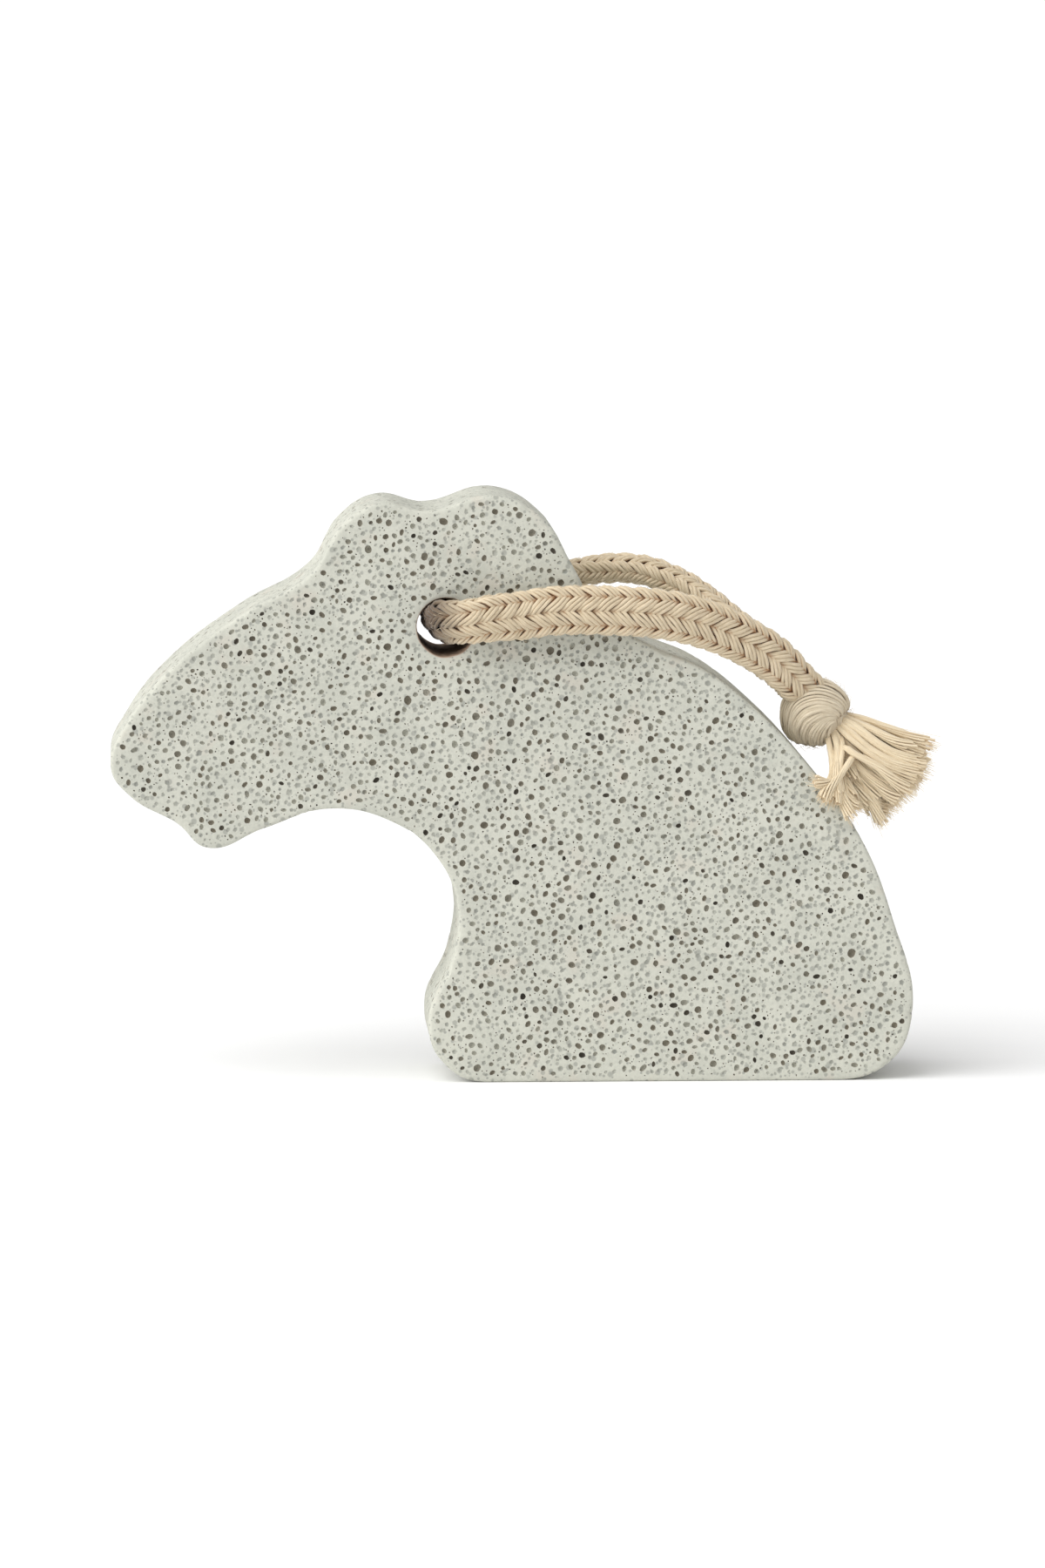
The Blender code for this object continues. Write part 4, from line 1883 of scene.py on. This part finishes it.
@dataclass(frozen=True)
class Wrap:
    """A sheaf of threads laid side by side round the knot.

    Args:
        guides: courses that the threads follow side by side, as directions from the knot's middle.
        layers: how far the sheaf stands out from the knot's surface at each guide.
        threads: how many threads it has.
    """

    guides: tuple[tuple[Point3, ...], ...]
    layers: tuple[float, ...]
    threads: int


KNOT_WRAPS = (
    # over the front, all drawn together at the notch on the right
    Wrap(
        (
            ((-0.62, 0.30, -0.70), (-0.93, -0.05, -0.15), (-0.80, -0.15, 0.58), (-0.10, -0.22, 0.97),
             (0.55, -0.25, 0.80), (0.90, -0.25, 0.38), (0.95, -0.28, 0.08)),
            ((-0.55, 0.00, -0.83), (-0.85, -0.45, -0.25), (-0.62, -0.65, 0.42), (-0.05, -0.75, 0.65),
             (0.45, -0.72, 0.52), (0.75, -0.60, 0.25), (0.80, -0.58, 0.02)),
            ((-0.42, -0.25, -0.87), (-0.66, -0.68, -0.32), (-0.45, -0.88, 0.12), (-0.05, -0.95, 0.28),
             (0.30, -0.92, 0.22), (0.55, -0.82, 0.10), (0.66, -0.75, -0.04)),
            ((-0.30, -0.20, -0.93), (-0.45, -0.68, -0.57), (-0.35, -0.90, -0.22), (-0.10, -0.98, 0.00),
             (0.15, -0.98, 0.08), (0.40, -0.91, 0.05), (0.60, -0.79, -0.08)),
            ((-0.05, -0.20, -0.97), (-0.12, -0.65, -0.75), (-0.08, -0.87, -0.48), (0.05, -0.96, -0.26),
             (0.20, -0.97, -0.12), (0.40, -0.91, -0.08), (0.56, -0.82, -0.12)),
            ((0.35, -0.20, -0.91), (0.30, -0.60, -0.74), (0.30, -0.80, -0.52), (0.34, -0.87, -0.35),
             (0.40, -0.88, -0.24), (0.50, -0.85, -0.16), (0.56, -0.82, -0.16)),
        ),
        (0.30, 0.40, 0.35, -0.05, -0.10, -0.30),
        23,
    ),
    # beside the tassel
    Wrap(
        (
            ((0.50, -0.84, 0.10), (0.66, -0.66, -0.36), (0.62, -0.35, -0.70), (0.50, 0.20, -0.84)),
            ((0.90, -0.40, 0.10), (0.92, -0.25, -0.28), (0.84, 0.05, -0.55), (0.70, 0.45, -0.55)),
        ),
        (-0.45, -0.30),
        9,
    ),
    # over the back
    Wrap(
        (
            ((-0.90, 0.10, -0.35), (-0.93, 0.20, 0.30), (-0.50, 0.45, 0.75), (0.20, 0.50, 0.85),
             (0.80, 0.35, 0.48), (0.97, 0.10, 0.10)),
            ((-0.62, 0.60, -0.50), (-0.62, 0.78, -0.10), (-0.35, 0.93, 0.05), (0.15, 0.98, 0.08),
             (0.62, 0.78, 0.02), (0.90, 0.40, -0.10)),
        ),
        (0.10, 0.20),
        15,
    ),
    Wrap(
        (
            ((-0.40, 0.90, 0.15), (-0.60, 0.75, -0.30), (-0.60, 0.35, -0.72), (-0.40, -0.20, -0.90)),
            ((0.75, 0.65, 0.05), (0.62, 0.70, -0.35), (0.50, 0.40, -0.78), (0.30, -0.10, -0.95)),
        ),
        (-0.20, -0.20),
        17,
    ),
)


@dataclass
class Knot:
    """The overhand knot, as bands of the braid's threads pulled tight round each other."""

    centre: Point3 = (47.1, -3.0, 56.0)
    half_size: Point3 = (5.4, 6.1, 5.5)
    tilt_deg: float = 37.0
    thread_radius: float = 0.285
    thread_sides: int = 6
    points: int = 40
    steps: int = 12
    tuck_depth: float = 1.2
    tuck_points: float = 1.4
    sunk_every: int = 3
    sunk: float = 0.16
    uneven: Point2 = (0.10, 0.35)
    uneven_radius: float = 0.08
    # painted shade: least on top, more on sunk threads and where the ends tuck in
    inset_least: float = 0.15
    inset_deep: float = 0.4
    inset_most: float = 0.9
    core_share: float = 0.88
    core_segments: int = 24
    core_rings: int = 14
    # painted shade on the core, part way toward the gap colour
    core_inset: float = 0.45
    fuzz_fibres: int = 260
    fuzz_radius: float = 0.022
    fuzz_length: Point2 = (0.4, 1.2)
    seed: int = 8
    wraps: tuple[Wrap, ...] = KNOT_WRAPS

    def build(self, material: Material) -> Piece:
        """Builds and dresses the knot.

        Args:
            material: the knot's finish.

        Returns:
            The knot.
        """
        draw = np.random.default_rng(self.seed)
        patches = [self.band(wrap, draw) for wrap in self.wraps]
        patches.append(self.fuzz(draw))
        knot = mesh_object("knot_wraps", joined([self.core(), *patches]))
        shade(knot, Threads.SHARP_ABOVE_DEG)
        dress(knot, material, "cotton_knot", "knot")
        return knot

    def axes(self) -> Array:
        """The knot's own axes.

        Returns:
            Three rows: along the cord, toward the back, and up.
        """
        tilt = math.radians(self.tilt_deg)
        return np.array([
            [math.cos(tilt), 0.0, -math.sin(tilt)],
            [0.0, 1.0, 0.0],
            [math.sin(tilt), 0.0, math.cos(tilt)],
        ])

    def surface(self, directions: Array) -> Array:
        """How far the knot's surface is from its middle in each direction."""
        local = directions @ self.axes().T
        return 1.0 / np.linalg.norm(local / np.array(self.half_size), axis=-1)

    def band(self, wrap: Wrap, draw: Draw) -> Patch:
        """The threads of one wrap.

        Args:
            wrap: the band.
            draw: the random draw for its unevenness.

        Returns:
            The threads.
        """
        guides = np.array([evenly(smooth_line(guide, self.steps), self.points) for guide in wrap.guides])
        ends = np.minimum(np.arange(self.points), np.arange(self.points)[::-1])
        tuck = self.tuck_depth * np.exp(-ends / self.tuck_points)
        size, waves = self.uneven
        paths, insets = [], []
        for number, place in enumerate(np.linspace(0.0, len(guides) - 1.0, wrap.threads)):
            low = min(int(place), len(guides) - 2)
            directions = unit(guides[low] * (1 + low - place) + guides[low + 1] * (place - low))
            layer = np.interp(place, range(len(guides)), wrap.layers)
            layer = layer - self.sunk * (number % self.sunk_every == 0)
            uneven = size * np.sin(ends * waves + draw.uniform(0, math.tau)) + draw.uniform(-size, size)
            reach = self.surface(directions) - self.thread_radius + layer - tuck + uneven
            paths.append(np.array(self.centre) + directions * reach[:, None])
            # painted shade on sunk threads and tucked ends
            inset = self.inset_least - self.inset_deep * min(layer, 0.0) + tuck / self.tuck_depth
            insets.append(np.clip(inset, 0.0, self.inset_most))
        paths = np.array(paths)
        plump = 1.0 + self.uneven_radius * draw.standard_normal((len(paths), 1))
        radii = self.thread_radius * plump * np.ones(paths.shape[:2])
        patch = Threads.tubes(paths, radii, self.thread_sides, draw, unit(paths - np.array(self.centre)))
        patch.on_points["inset"] = np.repeat(np.array(insets).ravel(), self.thread_sides)
        return patch

    def core(self) -> Patch:
        """The inside of the knot, which shows between its threads.

        Returns:
            A closed rounded solid under the threads.
        """
        bpy.ops.object.select_all(action="DESELECT")
        segments, rings = self.core_segments, self.core_rings
        bpy.ops.mesh.primitive_uv_sphere_add(segments=segments, ring_count=rings, radius=1.0)
        sphere = bpy.context.object
        directions = np.array([vertex.co for vertex in sphere.data.vertices], float)
        by_width: dict[int, list[list[int]]] = {}
        for polygon in sphere.data.polygons:
            corners = list(polygon.vertices)
            first = corners.index(min(corners))
            by_width.setdefault(len(corners), []).append(corners[first:] + corners[:first])
        mesh = sphere.data
        bpy.data.objects.remove(sphere)
        bpy.data.meshes.remove(mesh)
        reach = self.surface(unit(directions)) * self.core_share
        points = np.array(self.centre) + directions * reach[:, None]
        faces = [np.array(sorted(by_width[width])) for width in sorted(by_width)]
        # painted shade: the core is mixed part way toward the gap colour
        return Patch(points, faces, {"inset": np.full(len(points), self.core_inset)})

    def fuzz(self, draw: Draw) -> Patch:
        """Loose fibres that stand off the knot.

        Args:
            draw: the random draw.

        Returns:
            The fibres.
        """
        out = unit(draw.standard_normal((self.fuzz_fibres, 3)))
        root = np.array(self.centre) + out * self.surface(out)[:, None]
        along = unit(np.cross(out, unit(draw.standard_normal((self.fuzz_fibres, 3)))))
        return hairs(root, out, along, self.fuzz_length, self.fuzz_radius, draw)


TASSEL_STRANDS = (
    # fanning out to the right
    ((50.0, -4.0, 56.1), (54.1, -4.5, 55.3), (57.7, -4.5, 53.9), (61.5, -4.0, 52.3), (65.1, -3.5, 50.9)),
    ((50.1, -5.0, 56.0), (52.9, -5.5, 54.9), (55.9, -6.0, 53.5), (59.0, -6.0, 51.9), (62.1, -5.5, 50.6)),
    ((49.9, -5.5, 55.9), (52.8, -6.5, 54.5), (55.6, -7.0, 52.4), (58.6, -7.0, 50.4), (63.6, -6.0, 48.3)),
    ((49.7, -5.5, 55.5), (52.2, -7.0, 53.6), (55.0, -7.5, 51.0), (58.4, -7.5, 48.9), (63.1, -6.5, 46.9)),
    ((49.5, -5.5, 55.1), (51.8, -7.2, 52.8), (54.4, -7.8, 50.6), (57.4, -7.8, 48.4), (62.6, -6.5, 45.4)),
    # the one that is bent over in front
    ((51.6, -6.0, 49.5), (51.0, -8.2, 51.3), (52.6, -8.8, 50.3), (56.0, -8.6, 48.4), (58.9, -8.2, 46.0),
     (61.2, -7.5, 44.2)),
    ((50.9, -5.0, 52.4), (52.8, -7.2, 48.9), (55.2, -7.6, 46.5), (57.8, -7.5, 44.2), (59.9, -7.0, 42.9)),
    ((51.0, -4.0, 51.6), (52.4, -6.5, 47.7), (53.9, -7.5, 45.1), (55.5, -7.8, 42.4), (57.0, -7.5, 39.1)),
    ((50.8, -3.0, 51.1), (52.3, -5.5, 46.8), (54.0, -6.0, 44.2), (55.9, -6.0, 42.3), (58.7, -6.0, 41.2)),
    # hanging down over the stone's edge
    ((48.4, -5.0, 55.1), (48.8, -6.8, 51.9), (49.3, -8.5, 49.2), (49.2, -10.5, 47.2), (47.8, -13.2, 44.1)),
    ((49.0, -5.2, 54.7), (50.0, -7.4, 51.5), (49.9, -9.0, 49.1), (49.4, -11.0, 47.2), (48.5, -13.0, 43.3)),
    ((50.8, -6.0, 52.7), (50.8, -8.0, 50.9), (50.3, -9.5, 48.6), (49.7, -11.5, 46.3), (49.3, -13.0, 43.1)),
    ((52.7, -7.5, 50.0), (51.8, -9.4, 49.1), (50.6, -10.6, 47.6), (48.9, -12.4, 45.9), (47.1, -13.6, 43.9)),
    ((49.7, -8.0, 49.0), (49.0, -11.5, 46.3), (47.5, -12.6, 46.1), (46.0, -12.8, 46.5)),
    ((50.9, -5.0, 50.5), (50.8, -8.5, 47.1), (51.0, -10.5, 44.5), (52.0, -11.2, 42.7), (53.2, -11.0, 42.0)),
    ((50.5, -5.0, 50.2), (50.3, -9.2, 46.3), (50.5, -11.5, 44.1), (51.2, -12.4, 42.1), (51.8, -12.4, 40.7)),
    # behind them
    ((50.4, -3.5, 55.5), (54.1, -3.5, 53.6), (57.6, -3.0, 51.3), (60.8, -2.5, 49.6), (64.5, -1.5, 48.1)),
    ((50.4, -3.5, 55.1), (53.8, -3.5, 52.5), (56.8, -3.0, 49.6), (59.5, -2.5, 47.3), (62.8, -1.5, 45.1)),
    ((50.4, -3.5, 54.8), (53.1, -4.0, 51.4), (55.8, -4.0, 48.4), (58.5, -3.5, 45.7), (61.6, -2.5, 43.3)),
    ((50.4, -3.5, 54.4), (52.7, -4.5, 50.3), (54.6, -4.1, 47.2), (56.8, -4.6, 44.2), (59.2, -4.6, 41.9)),
    ((50.4, -3.5, 54.0), (52.3, -4.1, 49.2), (53.7, -4.5, 46.1), (55.4, -5.0, 43.4), (57.6, -5.0, 40.5)),
    ((50.1, -4.0, 53.7), (51.4, -5.0, 49.4), (52.2, -7.0, 46.4), (53.4, -8.0, 44.1), (54.6, -8.0, 42.2)),
    ((50.5, -4.0, 55.8), (54.3, -4.0, 54.3), (57.7, -4.0, 52.5), (61.1, -4.0, 51.0), (63.4, -3.5, 49.3)),
    ((50.6, -2.9, 55.2), (54.5, -2.7, 52.2), (57.9, -2.2, 49.4), (61.0, -1.7, 47.3), (63.8, -1.2, 46.1)),
    ((50.0, -5.4, 55.4), (51.9, -6.5, 54.5), (54.2, -6.9, 52.9), (56.6, -7.0, 51.2), (60.5, -6.7, 48.9),
     (63.4, -6.0, 47.2)),
    ((50.2, -4.8, 54.9), (52.6, -5.6, 53.2), (55.2, -6.0, 50.8), (58.6, -6.0, 48.0), (62.4, -5.4, 44.9)),
    ((49.8, -5.0, 54.2), (51.2, -6.0, 52.3), (53.0, -6.6, 50.4), (55.6, -6.8, 47.6), (58.8, -6.6, 44.6)),
    ((48.8, -5.4, 54.6), (49.9, -6.2, 53.2), (50.8, -6.6, 51.4), (51.6, -7.4, 49.0), (52.4, -8.6, 46.0)),
    ((50.0, -5.0, 53.0), (52.6, -6.2, 50.0), (55.2, -6.6, 47.2), (57.4, -6.6, 44.9), (59.6, -6.4, 42.4)),
    ((50.6, -4.4, 55.6), (54.8, -5.0, 54.2), (58.8, -5.2, 52.0), (64.0, -4.6, 49.2)),
    ((50.4, -4.4, 54.4), (53.6, -5.8, 51.2), (57.0, -6.2, 48.2), (61.0, -6.0, 44.6)),
    ((50.2, -4.4, 53.8), (52.9, -6.0, 49.9), (55.6, -6.6, 46.9), (59.0, -6.6, 43.4)),
    ((50.0, -4.4, 53.2), (52.0, -6.2, 49.2), (53.8, -7.0, 46.2), (56.4, -7.0, 42.4)),
    ((50.4, -4.5, 55.4), (54.6, -4.6, 53.4), (58.2, -4.6, 50.9), (63.2, -4.1, 47.9)),
    ((50.4, -4.5, 54.8), (53.8, -4.5, 51.8), (57.2, -5.0, 48.6), (61.6, -4.5, 45.0)),
    ((50.4, -4.5, 54.2), (53.0, -4.5, 50.4), (56.0, -5.2, 46.8), (60.0, -5.0, 43.6)),
    ((50.4, -4.5, 53.6), (52.6, -4.5, 49.4), (54.8, -5.4, 45.6), (57.8, -5.5, 41.6)),
    ((50.2, -4.5, 53.2), (52.0, -5.0, 48.4), (53.2, -6.6, 44.8), (55.8, -6.8, 41.0)),
    ((49.8, -4.1, 53.0), (50.6, -6.0, 49.4), (50.9, -8.6, 46.6), (52.4, -10.4, 43.2)),
    ((49.4, -4.1, 53.2), (49.9, -7.0, 50.0), (49.9, -9.6, 47.6), (49.8, -12.2, 44.0)),
)


@dataclass
class Tassel:
    """The cord's frayed ends: bundles of untwisted fibres that fan out below the knot."""

    strands: tuple[tuple[Point3, ...], ...] = TASSEL_STRANDS
    steps: int = 10
    fibres: int = 12
    ring: float = 0.34
    fibre_radius: float = 0.155
    splay: float = 2.9
    open_from: float = 0.35
    open_power: float = 1.5
    twist_turns: float = 0.5
    uneven: Point2 = (0.85, 1.15)
    cut_short: float = 0.09
    taper: float = 1.25
    # painted shade: on strands further back, on the middle fibre of each bundle, near the knot, and on the
    # side of each fibre that faces into its bundle
    back_from: float = -5.5
    back_depth: float = 6.0
    back_inset: float = 0.5
    middle_inset: float = 0.4
    root_inset: float = 0.5
    root_fade: float = 12.0
    light_side: Point3 = (0.0, 0.5, 0.0)
    points: int = 20
    sides: int = 5
    fine_fibres: int = 1900
    fine_radius: float = 0.03
    fine_points: int = 7
    fine_away: float = 0.25
    fine_lean: float = 0.55
    fine_beyond: Point2 = (-0.6, 0.9)
    seed: int = 21

    def build(self, material: Material) -> Piece:
        """Builds and dresses the tassel.

        Args:
            material: the tassel's finish.

        Returns:
            The tassel.
        """
        draw = np.random.default_rng(self.seed)
        courses = np.array([evenly(smooth_line(strand, self.steps), self.points) for strand in self.strands])
        patches = [self.bundles(courses, draw), self.fine(courses, draw)]
        tassel = mesh_object("frayed_ends", joined(patches))
        shade(tassel, Threads.SHARP_ABOVE_DEG)
        dress(tassel, material, "cotton_fray", "tassel")
        return tassel

    def bundles(self, courses: Array, draw: Draw) -> Patch:
        """The strands, each a twisted bundle of fibres that opens at its cut end.

        Args:
            courses: the strands' middle lines, as strand by point by x, y, z.
            draw: the random draw.

        Returns:
            All bundles.
        """
        share = np.linspace(0.0, 1.0, self.points)
        along = unit(np.gradient(courses, axis=1))
        right = unit(np.cross(along, np.array([0.0, -1.0, 0.0])))
        up = np.cross(right, along)
        opened = np.clip((share - self.open_from) / (1.0 - self.open_from), 0, 1) ** self.open_power
        opening = 1.0 + (self.splay - 1.0) * opened
        root = self.root_inset * np.exp(-share * self.root_fade)
        paths, insets = [], []
        for strand, course in enumerate(courses):
            phase, size = draw.uniform(0.0, math.tau), draw.uniform(*self.uneven)
            back = self.back_inset * np.clip((course[:, 1] - self.back_from) / self.back_depth, 0.0, 1.0)
            for fibre in range(self.fibres):
                angle = phase + math.tau * (fibre / (self.fibres - 1) + self.twist_turns * share)
                ring = self.ring * (fibre > 0) * size * opening * draw.uniform(*self.uneven)
                offset = right[strand] * (np.cos(angle) * ring)[:, None]
                offset = offset + up[strand] * (np.sin(angle) * ring)[:, None]
                kept = round(self.points * (1.0 - draw.uniform(0.0, self.cut_short)))
                paths.append(evenly((course + offset)[:kept], self.points))
                # painted shade on back strands, middle fibres and near the knot
                insets.append(np.clip(back + self.middle_inset * (fibre == 0) + root, 0.0, 1.0))
        radii = self.fibre_radius * np.linspace(1.0, self.taper, self.points)[None] * np.ones((len(paths), 1))
        paths = np.array(paths)
        out = unit(paths - np.repeat(courses + np.array(self.light_side), self.fibres, axis=0))
        patch = Threads.tubes(paths, radii, self.sides, draw, out)
        patch.on_points["inset"] = np.repeat(np.array(insets).ravel(), self.sides)
        return patch

    def fine(self, courses: Array, draw: Draw) -> Patch:
        """Single fibres that stand off the strands and past their ends.

        Args:
            courses: the strands' middle lines.
            draw: the random draw.

        Returns:
            The fibres.
        """
        paths = []
        for strand in draw.integers(0, len(courses), self.fine_fibres):
            course = courses[strand]
            first = draw.integers(self.points // 3, self.points - 4)
            away = draw.standard_normal(3) * self.fine_away
            lean = draw.standard_normal(3) * self.fine_lean
            part = evenly(course[first:], self.fine_points)
            share = np.linspace(0.0, 1.0, self.fine_points)[:, None]
            beyond = (course[-1] - course[-2]) * draw.uniform(*self.fine_beyond)
            paths.append(part + away + lean * share + beyond * share**3)
        paths = np.array(paths)
        return Threads.tubes(paths, np.full(paths.shape[:2], self.fine_radius), HAIR_SIDES, draw)


def main() -> None:
    """Builds the studio, the cord with what is tied on it, and the stone."""
    logging.basicConfig(level=logging.INFO, format="%(name)s: %(message)s")
    effects = SharedEffects()
    Studio().build(effects)
    cord = Braid()
    braid = cord.build(CottonFinish("cotton_braid").material(effects))
    # the knot's gap colour is its painted shade between the threads
    tight = CottonFinish(
        "cotton_knot", pale=(0.72, 0.63, 0.475), mid=(0.56, 0.475, 0.345), gap=(0.24, 0.165, 0.10)
    )
    knot = Knot().build(tight.material(effects))
    # the fray's gap colour is painted warm shade between the strands, as of light through the fibres
    fray = CottonFinish(
        "cotton_fray", pale=(0.84, 0.725, 0.52), mid=(0.74, 0.61, 0.42), gap=(0.74, 0.46, 0.25),
        gap_shade_from=0.15, shaded=0.75,
    )
    tassel = Tassel().build(fray.material(effects))
    PumiceSlab().build(PumiceFinish().material(effects))


if __name__ == "__main__":
    main()
